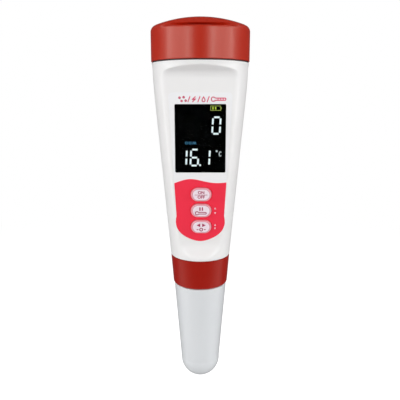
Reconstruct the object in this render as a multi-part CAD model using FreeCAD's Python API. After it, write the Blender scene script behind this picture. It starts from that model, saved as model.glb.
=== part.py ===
import FreeCAD
import Part
import math
import os

# Water quality test pen: a tapered white casing with a display and three keys on a flat front,
# a screwed battery cap on top, and a probe module held by a collar ring under a pull-off cap.
# Millimetres. +Z runs up the long axis, -Y faces the reader. The origin is on the axis, at the
# lower edge of the battery cap's straight band, where the cap meets the casing.

# Clearances
TURN_GAP = 0.05          # faces that turn or slide on each other
SLIDE_GAP = 0.20         # pieces that pull out of a round hole
KEY_GAP = 0.15           # round a key in its hole
SEAT_GAP = 0.02          # faces that rest on each other across a joint

# Battery cap
CAP_OVERHANG = 0.5       # how far the cap stands out from the casing
CAP_SIDE = 13.0          # height of the side, up to where the dome would start without its corner
CAP_DOME_RADIUS = 51.3
CAP_CORNER = 1.5
CAP_WALL = 2.4

# Flat gasket that shows as a dark line between cap and casing
GASKET_THICK = 0.40
GASKET_EDGE = 0.55       # how far it stays back from the cap's outside

# Casing
CASE_TOP_RADIUS = 19.5
CASE_BOTTOM_SHARE = 0.6576   # radius of the lower end over that of the upper end
CASE_LENGTH = 81.1       # below the origin, down to the collar ring
CASE_BARREL = 13.0       # length over which the side bends from upright to the taper
CASE_WALL = 1.9
CASE_LIP_FLARE = 0.4     # the rim under the battery cap flares out by this
CASE_LIP_HEIGHT = 2.3
NECK_HEIGHT = 8.5
NECK_WALL = 2.0
BULKHEAD = 2.0           # ledge that the battery tray rests on
BULKHEAD_STEP = 1.2
SPIGOT_LENGTH = 6.9      # lower end that goes into the collar ring
SPIGOT_STEP = 2.22
SPIGOT_WALL = 2.0
FLOOR_THICK = 3.1        # bottom wall over the spigot

# Flat front panel. It is cut as deep as the window needs to leave a margin at its lower edge.
FLAT_MARGIN = 1.45
PANEL_LEAN = 0.034       # the panel nears the axis by this per millimetre downwards
PANEL_WALL = 1.8
SCOOP_TOP = -2.24        # upper edge of the scoop
SCOOP_SLOPE = 0.30       # fall of the shelf under that edge, per millimetre inwards
SCOOP_FILLET = 3.5       # hollow between the shelf and the flat
SCOOP_INSET = 4.1        # its half width, less than the casing's radius by this
SCOOP_CORNER = 4.5
RAMP_FOOT = 1.5          # from the casing's lower end to the short ramp back to the round side
RAMP_LENGTH = 5.8
SCOOP_SWEEP = 1.0        # how far the lower ramp bends
SCOOP_OVER = 0.2         # how far its edges run out past the round side

# Overlay label, in front of the flat
LABEL_THICK = 0.20
LABEL_ABOVE = 4.43       # from the window to the label's upper edge
LABEL_TOP_INSET = 1.8    # from the flat's side to the label's
LABEL_FOOT = 1.0         # from the lower end of the flat to the label
LABEL_WAIST_ABOVE = 10.8     # height of the round lower end
LABEL_CORNER = 1.6
RED_THICK = 0.15
RED_MARGIN = 0.05
RED_TOP_BELOW = 3.7      # from the window to the middle of the waved edge
WAVE_SWING = 1.0
WAVE = ((-1.0, -0.92), (-0.71, 0.25), (-0.39, 1.0), (-0.09, 0.65), (0.26, -0.25), (0.57, -0.65), (0.98, -0.35))

# Display
WINDOW_WIDTH = 20.2
WINDOW_TOP = -16.63
WINDOW_TO_KEY = 9.04     # from the window's lower edge to the middle of the first key
WINDOW_CORNER = 0.5
WINDOW_FLANGE = 0.6
FLANGE_THICK = 0.6
GLASS_THICK = 1.1
LIGHT_THICK = 1.0
ZEBRA_WIDTH = 1.4
FRAME_WALL = 0.6
FRAME_MARGIN = 1.4       # how far the frame reaches above and below the window
STRIP_GAP = 0.1

# Keys
KEY_WIDTH = 8.35
KEY_HEIGHT = 5.5
KEY_CENTRE_X = 0.35
KEY_STEPS = (20.06, 13.33, 6.44)     # heights over the label's lower end
KEY_PROUD = 1.1
KEY_EDGE = 0.45          # bevel round a key's front
KEY_FLANGE = 0.8
KEY_TRAVEL = 0.6
PLUNGER_RADIUS = 1.2
PLUNGER_LENGTH = 1.4
DOME_RADIUS = 2.2
DOME_HEIGHT = 0.6
GUIDE_THICK = 0.6
GUIDE_MARGIN = 2.6
GUIDE_SIDE = 1.3
GUIDE_FOOT = 1.2

# Main board, behind the panel
BOARD_DEPTH = 5.2        # from the flat to the board's front
BOARD_THICK = 1.2
BOARD_HALF_WIDTH = 9.0
BOARD_CORNER = 1.0
BOARD_ABOVE = 5.43       # from the window to the board's upper edge
BOARD_FOOT = 7.1         # from the casing's lower end
BOSS_RADIUS = 1.7
BOSS_SIDE = 7.0
BOSS_INSET = (1.9, 3.7, 2.2)     # from the board's top, the window and the board's bottom
BOSS_ROOT = 1.3          # inside the panel's wall, so that a boss is one piece with it
PILOT_END = 2.4
SCREW_TIP = 2.7
SCREW_RADIUS = 0.8
SCREW_HEAD_RADIUS = 1.5
SCREW_HEAD = 1.1
PROCESSOR_SIZE = (7.0, 9.0, 1.1)
AMPLIFIER_SIZE = (4.0, 5.2, 1.1)
LEG_LENGTH = 0.9
LEG_THICK = 0.35

# Battery tray, and cells of 11.6 by 5.4 mm that keep their share of it
CELL_RADIUS_SHARE = 0.3816
CELL_THICK_SHARE = 0.3553
CELL_COUNT = 4
CELL_HEIGHT = 1.6        # centre line of the stack
CELL_GAP = 0.15
CELL_END = 0.6           # height of the raised negative end
CELL_ROUNDING = 0.5
CONTACT_STEP = 1.0       # a contact's radius, less than a cell's by this
CONTACT_THICK = 0.4
SPRING_ROOM = 1.3
LEAF_THICK = 0.3
TRAY_FLOOR = 1.25
TRAY_WALL = 1.25
TAIL_WIDTH = 3.0
TAIL_LENGTH = 0.4
TERMINAL_THICK = 0.4
TERMINAL_DROP = 0.7      # below the tray
TERMINAL_INSIDE = 2.6
TERMINAL_WIDTH = 2.2
TERMINAL_DEPTH = 1.5

# Collar ring
COLLAR_LENGTH = 13.1
COLLAR_DRAW = 1.02       # the ring narrows by this towards its lower end
COLLAR_ROUNDING = 1.0

# Probe module
PLUG_LENGTH = 7.9        # part of the module inside the spigot
PLUG_BEVEL = 0.5
FLANGE_HEIGHT = 2.3
FLANGE_SET_BACK = 0.1
SHOULDER_STEP = 1.5
SHOULDER_LENGTH = 8.4
SHOULDER_BEVEL = 0.6
BARREL_STEP = 3.3
BARREL_LENGTH = 10.0
SEAL_SECTION = 0.75
MODULE_SEAL_BELOW = 3.2  # from the top of the plug
CAP_SEAL_ABOVE = 2.2     # from the bottom of the shoulder
GUARD_LENGTH = 25.0
GUARD_WALL = 0.95
GUARD_FIT = 0.15
GUARD_WINDOW_SHARE = 0.667   # width of a window over the guard's radius
GUARD_WINDOW_HEIGHT = 11.0
GUARD_WINDOW_BELOW = 1.5
BULB_GAP = 1.5
STEM_STEP = 0.8
STEM_LENGTH = 3.0
PIN_INSET = 1.1
PIN_RADIUS = 0.6
SENSOR_RADIUS = 0.9
SENSOR_LENGTH = 9.0
JUNCTION_RADIUS = 0.9
JUNCTION_LENGTH = 0.8
SOCKET_WIDTH = 10.0
SOCKET_DEPTH = 4.6
SOCKET_HEIGHT = 4.5
SOCKET_WALL = 0.8
SOCKET_CLEAR = 0.15      # from the back of the board
SOCKET_OVER_PLUG = 2.2
HEADER_DEPTH = 2.4
HEADER_HEIGHT = 1.4
CONTACT_COUNT = 6
CONTACT_WIDTH = 0.6
CONTACT_LENGTH = 5.2

# Protective cap
PROTECT_GAP = 0.15       # under the collar ring
PROTECT_TAPER = 0.079
PROTECT_NARROWING = 3.2  # from the collar ring's lower end to the round tip
PROTECT_LENGTH = 45.4
PROTECT_WALL = 1.7
PROTECT_RIM = 0.4
SPONGE_HEIGHT = 10.25    # from the tip
SPONGE_GAP = 0.25
SPONGE_HOLLOW = (2.0, 1.5)   # radius and depth

FAR = 300.0              # beyond every piece, for the reach of a cut

V = FreeCAD.Vector
PARTS = {}


def wire(path, y=0.0):
    """Closed outline in the XZ plane. An item is a point, a pair (middle, end) for an arc, or a
    list of points for a smooth curve."""
    edges = []
    first = V(path[0][0], y, path[0][1])
    here = first
    for item in path[1:]:
        if isinstance(item, list):
            points = [here] + [V(a, y, b) for a, b in item]
            curve = Part.BSplineCurve()
            curve.interpolate(points)
            edges.append(curve.toShape())
            here = points[-1]
        elif isinstance(item[0], tuple):
            there = V(item[1][0], y, item[1][1])
            edges.append(Part.Arc(here, V(item[0][0], y, item[0][1]), there).toShape())
            here = there
        else:
            there = V(item[0], y, item[1])
            if here.distanceToPoint(there) > 1e-6:
                edges.append(Part.makeLine(here, there))
            here = there
    if here.distanceToPoint(first) > 1e-6:
        edges.append(Part.makeLine(here, first))
    return Part.Wire(edges)


def outward(solid):
    """The same solid with its faces pointing out."""
    if solid.Volume < 0:
        solid.reverse()
    return solid


def turned(*path):
    """Solid of revolution about the long axis, from a path of (radius, height) points."""
    return outward(Part.Face(wire(path)).revolve(V(0, 0, 0), V(0, 0, 1), 360))


def prism(path, y_front, y_back):
    """Solid with an XZ outline, from y_front to y_back."""
    return outward(Part.Face(wire(path, y_front)).extrude(V(0, y_back - y_front, 0)))


def tube(outer, inner, low, high):
    """Plain ring about the long axis."""
    return turned((inner, low), (outer, low), (outer, high), (inner, high))


def rod(radius, low, high, x=0.0, y=0.0):
    """Upright round bar."""
    return Part.makeCylinder(radius, high - low, V(x, y, low))


def block(x0, x1, y0, y1, z0, z1):
    return Part.makeBox(x1 - x0, y1 - y0, z1 - z0, V(x0, y0, z0))


def torus_seal(middle_radius, height):
    """O-ring about the long axis."""
    return Part.makeTorus(middle_radius, SEAL_SECTION, V(0, 0, height), V(0, 0, 1))


def rounded(half_width, low, high, corner, x=0.0):
    """Path of a rounded rectangle. A corner of half the height makes round ends."""
    left, right = x - half_width, x + half_width
    k = corner * (1 - math.sqrt(0.5))
    return [
        (left + corner, low),
        (right - corner, low),
        ((right - k, low + k), (right, low + corner)),
        (right, high - corner),
        ((right - k, high - k), (right - corner, high)),
        (left + corner, high),
        ((left + k, high - k), (left, high - corner)),
        (left, low + corner),
        ((left + k, low + k), (left + corner, low)),
    ]


def on_panel(shape):
    """Moves a shape drawn with the flat at y = 0, +Y inwards, on to the leaning front panel."""
    lean = math.degrees(math.atan(PANEL_LEAN))
    moved = shape.copy()
    moved.Placement = FreeCAD.Placement(V(0, -PANEL_DEPTH, 0), FreeCAD.Rotation(V(1, 0, 0), lean))
    return moved


def panel_depth(z):
    """Distance of the flat from the long axis at a height."""
    return PANEL_DEPTH + PANEL_LEAN * z


def case_radius(z):
    """Outside radius of the casing at a height: a shallow barrel, then a straight taper."""
    if z > -CASE_BARREL:
        return CASE_TOP_RADIUS - CASE_TAPER * z * z / (2 * CASE_BARREL)
    return CASE_TOP_RADIUS - CASE_TAPER * CASE_BARREL / 2 - CASE_TAPER * (-CASE_BARREL - z)


def flat_half_width(z):
    """Half the width of the flat, between the round sides, at a height."""
    return math.sqrt(case_radius(z) ** 2 - panel_depth(z) ** 2)


def board_back_y(z):
    """Where the back of the main board is at a height."""
    return BOARD_BACK - panel_depth(z)


def together(*solids):
    return Part.makeCompound(list(solids))


# Heights and radii that several pieces share: casing and panel
SEAM = -(GASKET_THICK + 2 * TURN_GAP)
CASE_BOTTOM = -CASE_LENGTH
CASE_BOTTOM_RADIUS = CASE_BOTTOM_SHARE * CASE_TOP_RADIUS
CASE_TAPER = (CASE_TOP_RADIUS - CASE_BOTTOM_RADIUS) / (CASE_LENGTH - CASE_BARREL / 2)
SCOOP_BOTTOM = CASE_BOTTOM + RAMP_FOOT
SCOOP_FLAT_END = SCOOP_BOTTOM + RAMP_LENGTH
SCOOP_HALF_WIDTH = CASE_TOP_RADIUS - SCOOP_INSET
LABEL_BOTTOM = SCOOP_FLAT_END + LABEL_FOOT
LABEL_WAIST = LABEL_BOTTOM + LABEL_WAIST_ABOVE
LABEL_TOP = WINDOW_TOP + LABEL_ABOVE
KEY_HEIGHTS = [LABEL_BOTTOM + step for step in KEY_STEPS]
WINDOW_BOTTOM = KEY_HEIGHTS[0] + WINDOW_TO_KEY
PANEL_DEPTH = (math.sqrt(case_radius(WINDOW_BOTTOM) ** 2 - (WINDOW_WIDTH / 2 + FLAT_MARGIN) ** 2)
               - PANEL_LEAN * WINDOW_BOTTOM)
LABEL_TOP_HALF = flat_half_width(LABEL_TOP) - LABEL_TOP_INSET
LABEL_WAIST_HALF = flat_half_width(LABEL_WAIST)
GLASS_FRONT = PANEL_WALL + TURN_GAP + FLANGE_THICK + TURN_GAP
LIGHT_FRONT = GLASS_FRONT + GLASS_THICK + TURN_GAP
FRAME_INSIDE = FRAME_MARGIN - FRAME_WALL
KEY_FLANGE_FRONT = PANEL_WALL + SEAT_GAP
KEY_FLANGE_BACK = KEY_FLANGE_FRONT + FLANGE_THICK
BOARD_BACK = BOARD_DEPTH + BOARD_THICK
BOARD_TOP = WINDOW_TOP + BOARD_ABOVE
BOARD_BOTTOM = CASE_BOTTOM + BOARD_FOOT
BOSS_HEIGHTS = (BOARD_TOP - BOSS_INSET[0], WINDOW_BOTTOM - BOSS_INSET[1], BOARD_BOTTOM + BOSS_INSET[2])

# Battery cap, neck and tray
CAP_RADIUS = CASE_TOP_RADIUS + CAP_OVERHANG
NECK_RADIUS = CAP_RADIUS - CAP_WALL - SLIDE_GAP
NECK_BORE = NECK_RADIUS - NECK_WALL
TRAY_RADIUS = NECK_BORE - SLIDE_GAP
LEDGE_BORE = NECK_BORE - BULKHEAD_STEP
CELL_RADIUS = CELL_RADIUS_SHARE * TRAY_RADIUS
CELL_THICK = CELL_THICK_SHARE * TRAY_RADIUS
STACK = CELL_COUNT * CELL_THICK
STACK_LEFT = -(STACK + SPRING_ROOM + 2 * CONTACT_THICK) / 2 + CONTACT_THICK + SPRING_ROOM
TROUGH_HALF = (STACK + SPRING_ROOM + 2 * CONTACT_THICK) / 2 + TURN_GAP
TROUGH_RADIUS = CELL_RADIUS + CELL_GAP
TRAY_BASE = CELL_HEIGHT - TROUGH_RADIUS - TRAY_FLOOR

# Spigot, collar ring, probe module and protective cap
SPIGOT_RADIUS = CASE_BOTTOM_RADIUS - SPIGOT_STEP
SPIGOT_BOTTOM = CASE_BOTTOM - SPIGOT_LENGTH
SPIGOT_BORE = SPIGOT_RADIUS - SPIGOT_WALL
PLUG_RADIUS = SPIGOT_BORE - SLIDE_GAP
PLUG_TOP = SPIGOT_BOTTOM + PLUG_LENGTH
FLANGE_TOP = SPIGOT_BOTTOM - 3 * TURN_GAP
FLANGE_BOTTOM = FLANGE_TOP - FLANGE_HEIGHT
FLANGE_RADIUS = SPIGOT_RADIUS - FLANGE_SET_BACK
COLLAR_TOP = CASE_BOTTOM - 3 * TURN_GAP
COLLAR_BOTTOM = CASE_BOTTOM - COLLAR_LENGTH
COLLAR_LOWER_RADIUS = CASE_BOTTOM_RADIUS - COLLAR_DRAW
SHOULDER_RADIUS = SPIGOT_RADIUS - SHOULDER_STEP
SHOULDER_BOTTOM = FLANGE_BOTTOM - SHOULDER_LENGTH
BARREL_RADIUS = SHOULDER_RADIUS - BARREL_STEP
BARREL_BOTTOM = SHOULDER_BOTTOM - BARREL_LENGTH
GUARD_RADIUS = BARREL_RADIUS + GUARD_FIT + GUARD_WALL
PIN_CIRCLE = BARREL_RADIUS - PIN_INSET
BULB_RADIUS = PIN_CIRCLE - BULB_GAP
STEM_RADIUS = BULB_RADIUS - STEM_STEP
BULB_CENTRE = BARREL_BOTTOM - STEM_LENGTH - math.sqrt(BULB_RADIUS ** 2 - STEM_RADIUS ** 2)
PIN_BOTTOM = BULB_CENTRE - BULB_RADIUS
PROTECT_TOP = COLLAR_BOTTOM - PROTECT_GAP
PROTECT_TIP = PROTECT_TOP - PROTECT_LENGTH
PROTECT_TIP_RADIUS = COLLAR_LOWER_RADIUS - PROTECT_NARROWING
SPONGE_TOP = PROTECT_TIP + SPONGE_HEIGHT
SOCKET_Y = board_back_y(BOARD_BOTTOM) + SOCKET_CLEAR + SOCKET_DEPTH / 2
SOCKET_LOW = PLUG_TOP + SOCKET_OVER_PLUG


def battery_cap():
    """Domed screw cap, hollow, with a ring of grip-free straight side."""
    middle = CAP_SIDE - math.sqrt(CAP_DOME_RADIUS ** 2 - CAP_RADIUS ** 2)
    inner = CAP_RADIUS - CAP_WALL
    inner_dome = CAP_DOME_RADIUS - CAP_WALL

    def on_dome(radius, r):
        return middle + math.sqrt(radius ** 2 - r ** 2)

    outside = turned(
        (0, 0),
        (CAP_RADIUS, 0),
        (CAP_RADIUS, CAP_SIDE),
        ((CAP_RADIUS / 2, on_dome(CAP_DOME_RADIUS, CAP_RADIUS / 2)), (0, middle + CAP_DOME_RADIUS)),
    )
    corner = [e for e in outside.Edges if abs(e.BoundBox.ZMin - CAP_SIDE) < 0.01
              and abs(e.BoundBox.ZMax - CAP_SIDE) < 0.01]
    outside = outside.makeFillet(CAP_CORNER, corner)
    hollow = turned(
        (0, -CAP_WALL),
        (inner, -CAP_WALL),
        (inner, on_dome(inner_dome, inner)),
        ((inner / 2, on_dome(inner_dome, inner / 2)), (0, middle + inner_dome)),
    )
    return outside.cut(hollow)


def cap_gasket():
    return tube(CAP_RADIUS - GASKET_EDGE, NECK_RADIUS + TURN_GAP,
                SEAM + TURN_GAP, SEAM + TURN_GAP + GASKET_THICK)


def scoop():
    """Tool that cuts the flat front, under a sloping shelf and above a short ramp."""
    top_y = -(CASE_TOP_RADIUS + SCOOP_OVER)
    far_y = top_y - FAR
    low_y = -panel_depth(SCOOP_FLAT_END)
    out_y = -(case_radius(SCOOP_BOTTOM) + SCOOP_OVER)
    ramp_y = (low_y + out_y + SCOOP_SWEEP) / 2
    ramp_z = (SCOOP_FLAT_END + SCOOP_BOTTOM - SCOOP_SWEEP) / 2
    corner_z = SCOOP_TOP - SCOOP_SLOPE * (-PANEL_DEPTH - top_y)
    left = -FAR

    def at(y, z):
        return V(left, y, z)

    shelf_foot = at(-panel_depth(corner_z), corner_z)
    edges = [
        Part.makeLine(at(low_y, SCOOP_FLAT_END), shelf_foot),
        Part.makeLine(shelf_foot, at(top_y, SCOOP_TOP)),
        Part.makeLine(at(top_y, SCOOP_TOP), at(far_y, SCOOP_TOP)),
        Part.makeLine(at(far_y, SCOOP_TOP), at(far_y, SCOOP_BOTTOM)),
        Part.makeLine(at(far_y, SCOOP_BOTTOM), at(out_y, SCOOP_BOTTOM)),
        Part.Arc(at(out_y, SCOOP_BOTTOM), at(ramp_y, ramp_z), at(low_y, SCOOP_FLAT_END)).toShape(),
    ]
    side_view = outward(Part.Face(Part.Wire(edges)).extrude(V(-2 * left, 0, 0)))
    hollow = [e for e in side_view.Edges if abs(e.BoundBox.ZMin - corner_z) < 0.01
              and abs(e.BoundBox.ZMax - corner_z) < 0.01 and e.BoundBox.XLength > 1]
    side_view = side_view.makeFillet(SCOOP_FILLET, hollow)
    front_view = prism(rounded(SCOOP_HALF_WIDTH, SCOOP_BOTTOM, SCOOP_TOP, SCOOP_CORNER), far_y, 0)
    return side_view.common(front_view)


def casing():
    """One hollow moulding: neck for the cap, flat front, bosses, and a spigot for the collar."""
    lip_radius = CASE_TOP_RADIUS + CASE_LIP_FLARE
    lip_low = SEAM - CASE_LIP_HEIGHT
    barrel_mid = (lip_low - CASE_BARREL) / 2
    outside = turned(
        (0, SPIGOT_BOTTOM),
        (SPIGOT_RADIUS, SPIGOT_BOTTOM),
        (SPIGOT_RADIUS, CASE_BOTTOM),
        (CASE_BOTTOM_RADIUS, CASE_BOTTOM),
        (case_radius(-CASE_BARREL), -CASE_BARREL),
        ((case_radius(barrel_mid), barrel_mid), (case_radius(lip_low), lip_low)),
        ((case_radius(lip_low) + 0.25 * CASE_LIP_FLARE, (lip_low + SEAM) / 2), (lip_radius, SEAM)),
        (NECK_RADIUS, SEAM),
        (NECK_RADIUS, NECK_HEIGHT),
        (0, NECK_HEIGHT),
    )
    outside = outside.cut(scoop())

    floor = CASE_BOTTOM + FLOOR_THICK
    hollow = turned(
        (0, floor),
        (case_radius(floor) - CASE_WALL, floor),
        (case_radius(-CASE_BARREL) - CASE_WALL, -CASE_BARREL),
        (case_radius(-BULKHEAD) - CASE_WALL, -BULKHEAD - CASE_WALL / 2),
        (LEDGE_BORE, -BULKHEAD),
        (0, -BULKHEAD),
    )
    behind_panel = on_panel(block(-FAR, FAR, PANEL_WALL, FAR, -FAR, FAR))
    hollow = hollow.common(behind_panel)
    solid = outside.cut(hollow)
    solid = solid.cut(rod(LEDGE_BORE, -BULKHEAD, 0))
    solid = solid.cut(rod(NECK_BORE, 0, FAR))
    solid = solid.cut(rod(SPIGOT_BORE, -FAR, floor))

    bosses = []
    for z in BOSS_HEIGHTS:
        for side in (-BOSS_SIDE, BOSS_SIDE):
            boss = Part.makeCylinder(BOSS_RADIUS, BOARD_DEPTH - BOSS_ROOT, V(side, BOSS_ROOT, z), V(0, 1, 0))
            pilot = Part.makeCylinder(SCREW_RADIUS + TURN_GAP, BOARD_DEPTH, V(side, PILOT_END, z), V(0, 1, 0))
            bosses.append(boss.cut(pilot))
    solid = solid.fuse([on_panel(b) for b in bosses])
    return solid.cut([on_panel(hole) for hole in panel_holes(-PANEL_WALL, 1.3 * PANEL_WALL)])


def panel_holes(front, back):
    """Tools for the window's opening and the three round-ended key holes."""
    holes = [prism(rounded(WINDOW_WIDTH / 2 + TURN_GAP, WINDOW_BOTTOM - TURN_GAP, WINDOW_TOP + TURN_GAP,
                           WINDOW_CORNER), front, back)]
    half = KEY_HEIGHT / 2 + KEY_GAP
    for z in KEY_HEIGHTS:
        holes.append(prism(rounded(KEY_WIDTH / 2 + KEY_GAP, z - half, z + half, half, KEY_CENTRE_X), front, back))
    return holes


def label_path(margin=0.0):
    """Outline of the overlay label, with the points set in by a margin."""
    top, half = LABEL_TOP - margin, LABEL_TOP_HALF - margin
    waist = LABEL_WAIST_HALF - margin
    bottom = LABEL_BOTTOM + margin
    k = LABEL_CORNER * (1 - math.sqrt(0.5))
    slope = (half - waist) / (top - LABEL_WAIST)
    side = half - slope * LABEL_CORNER
    sweep = (0.80 * waist, LABEL_WAIST + 0.70 * (bottom - LABEL_WAIST))
    return [
        (-half + LABEL_CORNER, top),
        (half - LABEL_CORNER, top),
        ((half - k, top - k), (side, top - LABEL_CORNER)),
        (waist, LABEL_WAIST),
        [sweep, (0.42 * waist, bottom + 0.09 * (LABEL_WAIST - bottom)), (0, bottom),
         (-0.42 * waist, bottom + 0.09 * (LABEL_WAIST - bottom)), (-sweep[0], sweep[1]), (-waist, LABEL_WAIST)],
        (-side, top - LABEL_CORNER),
        ((-half + k, top - k), (-half + LABEL_CORNER, top)),
    ]


def overlay_label():
    """Thin film with the display's opening, stuck on the flat."""
    film = prism(label_path(), -LABEL_THICK, 0)
    return on_panel(film.cut(panel_holes(-PANEL_WALL, PANEL_WALL)))


def key_field():
    """Red field round the keys, with a waved upper edge, on the lower half of the label."""
    middle = WINDOW_BOTTOM - RED_TOP_BELOW
    half = flat_half_width(middle)
    crest = [(share * half, middle + swing * WAVE_SWING) for share, swing in WAVE]
    edge = [(-2 * half, crest[0][1]), crest + [(2 * half, crest[-1][1])], (2 * half, -FAR), (-2 * half, -FAR)]
    front = -LABEL_THICK - RED_THICK
    below = prism(edge, front, -LABEL_THICK)
    inside = prism(label_path(RED_MARGIN), front, -LABEL_THICK)
    return on_panel(inside.common(below).cut(panel_holes(-PANEL_WALL, PANEL_WALL)))


def display_window():
    """Clear pane in the panel's opening, with a flange behind the wall."""
    pane = prism(rounded(WINDOW_WIDTH / 2, WINDOW_BOTTOM, WINDOW_TOP, WINDOW_CORNER),
                 -LABEL_THICK, PANEL_WALL + TURN_GAP)
    flange = prism(rounded(WINDOW_WIDTH / 2 + WINDOW_FLANGE, WINDOW_BOTTOM - WINDOW_FLANGE,
                           WINDOW_TOP + WINDOW_FLANGE, WINDOW_CORNER + WINDOW_FLANGE),
                   PANEL_WALL + TURN_GAP, PANEL_WALL + TURN_GAP + FLANGE_THICK)
    return on_panel(pane.fuse(flange).removeSplitter())


def display_frame():
    """Open box that holds the display glass and its light against the window, off the board."""
    half = WINDOW_WIDTH / 2 + WINDOW_FLANGE
    front = GLASS_FRONT
    outer = prism(rounded(half, WINDOW_BOTTOM - FRAME_MARGIN, WINDOW_TOP + FRAME_MARGIN, FRAME_WALL / 2),
                  front, BOARD_DEPTH)
    inner = prism(rounded(half - FRAME_WALL, WINDOW_BOTTOM - FRAME_INSIDE, WINDOW_TOP + FRAME_INSIDE,
                          FRAME_WALL / 3), 0, 2 * BOARD_DEPTH)
    return on_panel(outer.cut(inner))


def display_glass():
    half = WINDOW_WIDTH / 2 + WINDOW_FLANGE - FRAME_WALL - TURN_GAP
    reach = FRAME_INSIDE - TURN_GAP
    return on_panel(prism(rounded(half, WINDOW_BOTTOM - reach, WINDOW_TOP + reach, FRAME_WALL / 3),
                          GLASS_FRONT, GLASS_FRONT + GLASS_THICK))


def display_light():
    """Diffuser block behind the glass, between the two contact strips."""
    half = WINDOW_WIDTH / 2 + WINDOW_FLANGE - FRAME_WALL - TURN_GAP
    inset = ZEBRA_WIDTH + 2 * STRIP_GAP - FRAME_INSIDE + TURN_GAP
    return on_panel(prism(rounded(half, WINDOW_BOTTOM + inset, WINDOW_TOP - inset, FRAME_WALL / 3),
                          LIGHT_FRONT, LIGHT_FRONT + LIGHT_THICK))


def contact_strips():
    """Two elastic strips that join the display glass to the board."""
    half = WINDOW_WIDTH / 2 - FRAME_INSIDE
    low = WINDOW_BOTTOM - FRAME_INSIDE + STRIP_GAP
    high = WINDOW_TOP + FRAME_INSIDE - STRIP_GAP
    strips = [block(-half, half, LIGHT_FRONT, BOARD_DEPTH, low, low + ZEBRA_WIDTH),
              block(-half, half, LIGHT_FRONT, BOARD_DEPTH, high - ZEBRA_WIDTH, high)]
    return together(*[on_panel(s) for s in strips])


def main_board():
    """Circuit board with screw holes, parallel to the panel."""
    board = prism(rounded(BOARD_HALF_WIDTH, BOARD_BOTTOM, BOARD_TOP, BOARD_CORNER), BOARD_DEPTH, BOARD_BACK)
    holes = [Part.makeCylinder(SCREW_RADIUS + SLIDE_GAP, BOARD_BACK, V(side, PANEL_WALL, z), V(0, 1, 0))
             for z in BOSS_HEIGHTS for side in (-BOSS_SIDE, BOSS_SIDE)]
    return on_panel(board.cut(holes))


def board_screws():
    screws = []
    for z in BOSS_HEIGHTS:
        for side in (-BOSS_SIDE, BOSS_SIDE):
            shank = Part.makeCylinder(SCREW_RADIUS, BOARD_BACK - SCREW_TIP, V(side, SCREW_TIP, z), V(0, 1, 0))
            head = Part.makeCylinder(SCREW_HEAD_RADIUS, SCREW_HEAD, V(side, BOARD_BACK, z), V(0, 1, 0))
            screws.append(on_panel(shank.fuse(head)))
    return together(*screws)


def chip(z, size, count):
    """Black chip on the back of the board, with a row of legs on each side."""
    width, height, thick = size
    front = BOARD_BACK + LEG_THICK / 3
    body = block(-width / 2, width / 2, front, front + thick, z - height / 2, z + height / 2)
    pitch = height / (count + 1)
    legs = []
    for i in range(count):
        leg_z = z + (i - (count - 1) / 2) * pitch
        for root in (-width / 2 - LEG_LENGTH, width / 2):
            legs.append(block(root, root + LEG_LENGTH, BOARD_BACK, BOARD_BACK + LEG_THICK,
                              leg_z - LEG_THICK / 2, leg_z + LEG_THICK / 2))
    return on_panel(body.fuse(legs).removeSplitter())


def key(z):
    """Round-ended push key with a bevelled front, a flange behind the wall and a plunger."""
    half = KEY_HEIGHT / 2
    head = prism(rounded(KEY_WIDTH / 2, z - half, z + half, half, KEY_CENTRE_X),
                 -KEY_PROUD - LABEL_THICK, KEY_FLANGE_FRONT)
    front = [e for e in head.Edges if abs(e.BoundBox.YMin + KEY_PROUD + LABEL_THICK) < 0.01
             and abs(e.BoundBox.YMax + KEY_PROUD + LABEL_THICK) < 0.01]
    head = head.makeFillet(KEY_EDGE, front)
    wide = half + KEY_FLANGE / 4
    flange = prism(rounded(KEY_WIDTH / 2 + KEY_FLANGE, z - wide, z + wide, wide, KEY_CENTRE_X),
                   KEY_FLANGE_FRONT, KEY_FLANGE_BACK)
    plunger = Part.makeCylinder(PLUNGER_RADIUS, PLUNGER_LENGTH, V(KEY_CENTRE_X, KEY_FLANGE_BACK, z), V(0, 1, 0))
    return on_panel(head.fuse([flange, plunger]).removeSplitter())


def key_guide():
    """Plate with three holes that guides the plungers, on feet that stand on the board."""
    low = KEY_HEIGHTS[-1] - GUIDE_MARGIN
    high = KEY_HEIGHTS[0] + GUIDE_MARGIN
    half = KEY_WIDTH / 2 + GUIDE_SIDE
    front = KEY_FLANGE_BACK + KEY_TRAVEL + TURN_GAP
    plate = prism(rounded(half, low, high, GUIDE_FOOT / 2, KEY_CENTRE_X), front, front + GUIDE_THICK)
    holes = [Part.makeCylinder(PLUNGER_RADIUS + TURN_GAP, BOARD_DEPTH, V(KEY_CENTRE_X, 0, z), V(0, 1, 0))
             for z in KEY_HEIGHTS]
    feet = [block(x, x + GUIDE_FOOT, front, BOARD_DEPTH, z, z + GUIDE_FOOT)
            for x in (KEY_CENTRE_X - half, KEY_CENTRE_X + half - GUIDE_FOOT)
            for z in (low + GUIDE_FOOT / 2, high - 1.5 * GUIDE_FOOT)]
    return on_panel(plate.cut(holes).fuse(feet).removeSplitter())


def key_domes():
    """Three snap domes on the board, one behind each plunger."""
    domes = []
    for z in KEY_HEIGHTS:
        bulge = (DOME_RADIUS ** 2 + DOME_HEIGHT ** 2) / (2 * DOME_HEIGHT)
        ball = Part.makeSphere(bulge, V(KEY_CENTRE_X, BOARD_DEPTH - DOME_HEIGHT + bulge, z))
        slab = Part.makeCylinder(DOME_RADIUS, DOME_HEIGHT, V(KEY_CENTRE_X, BOARD_DEPTH - DOME_HEIGHT, z), V(0, 1, 0))
        domes.append(on_panel(ball.common(slab)))
    return together(*domes)


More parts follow.
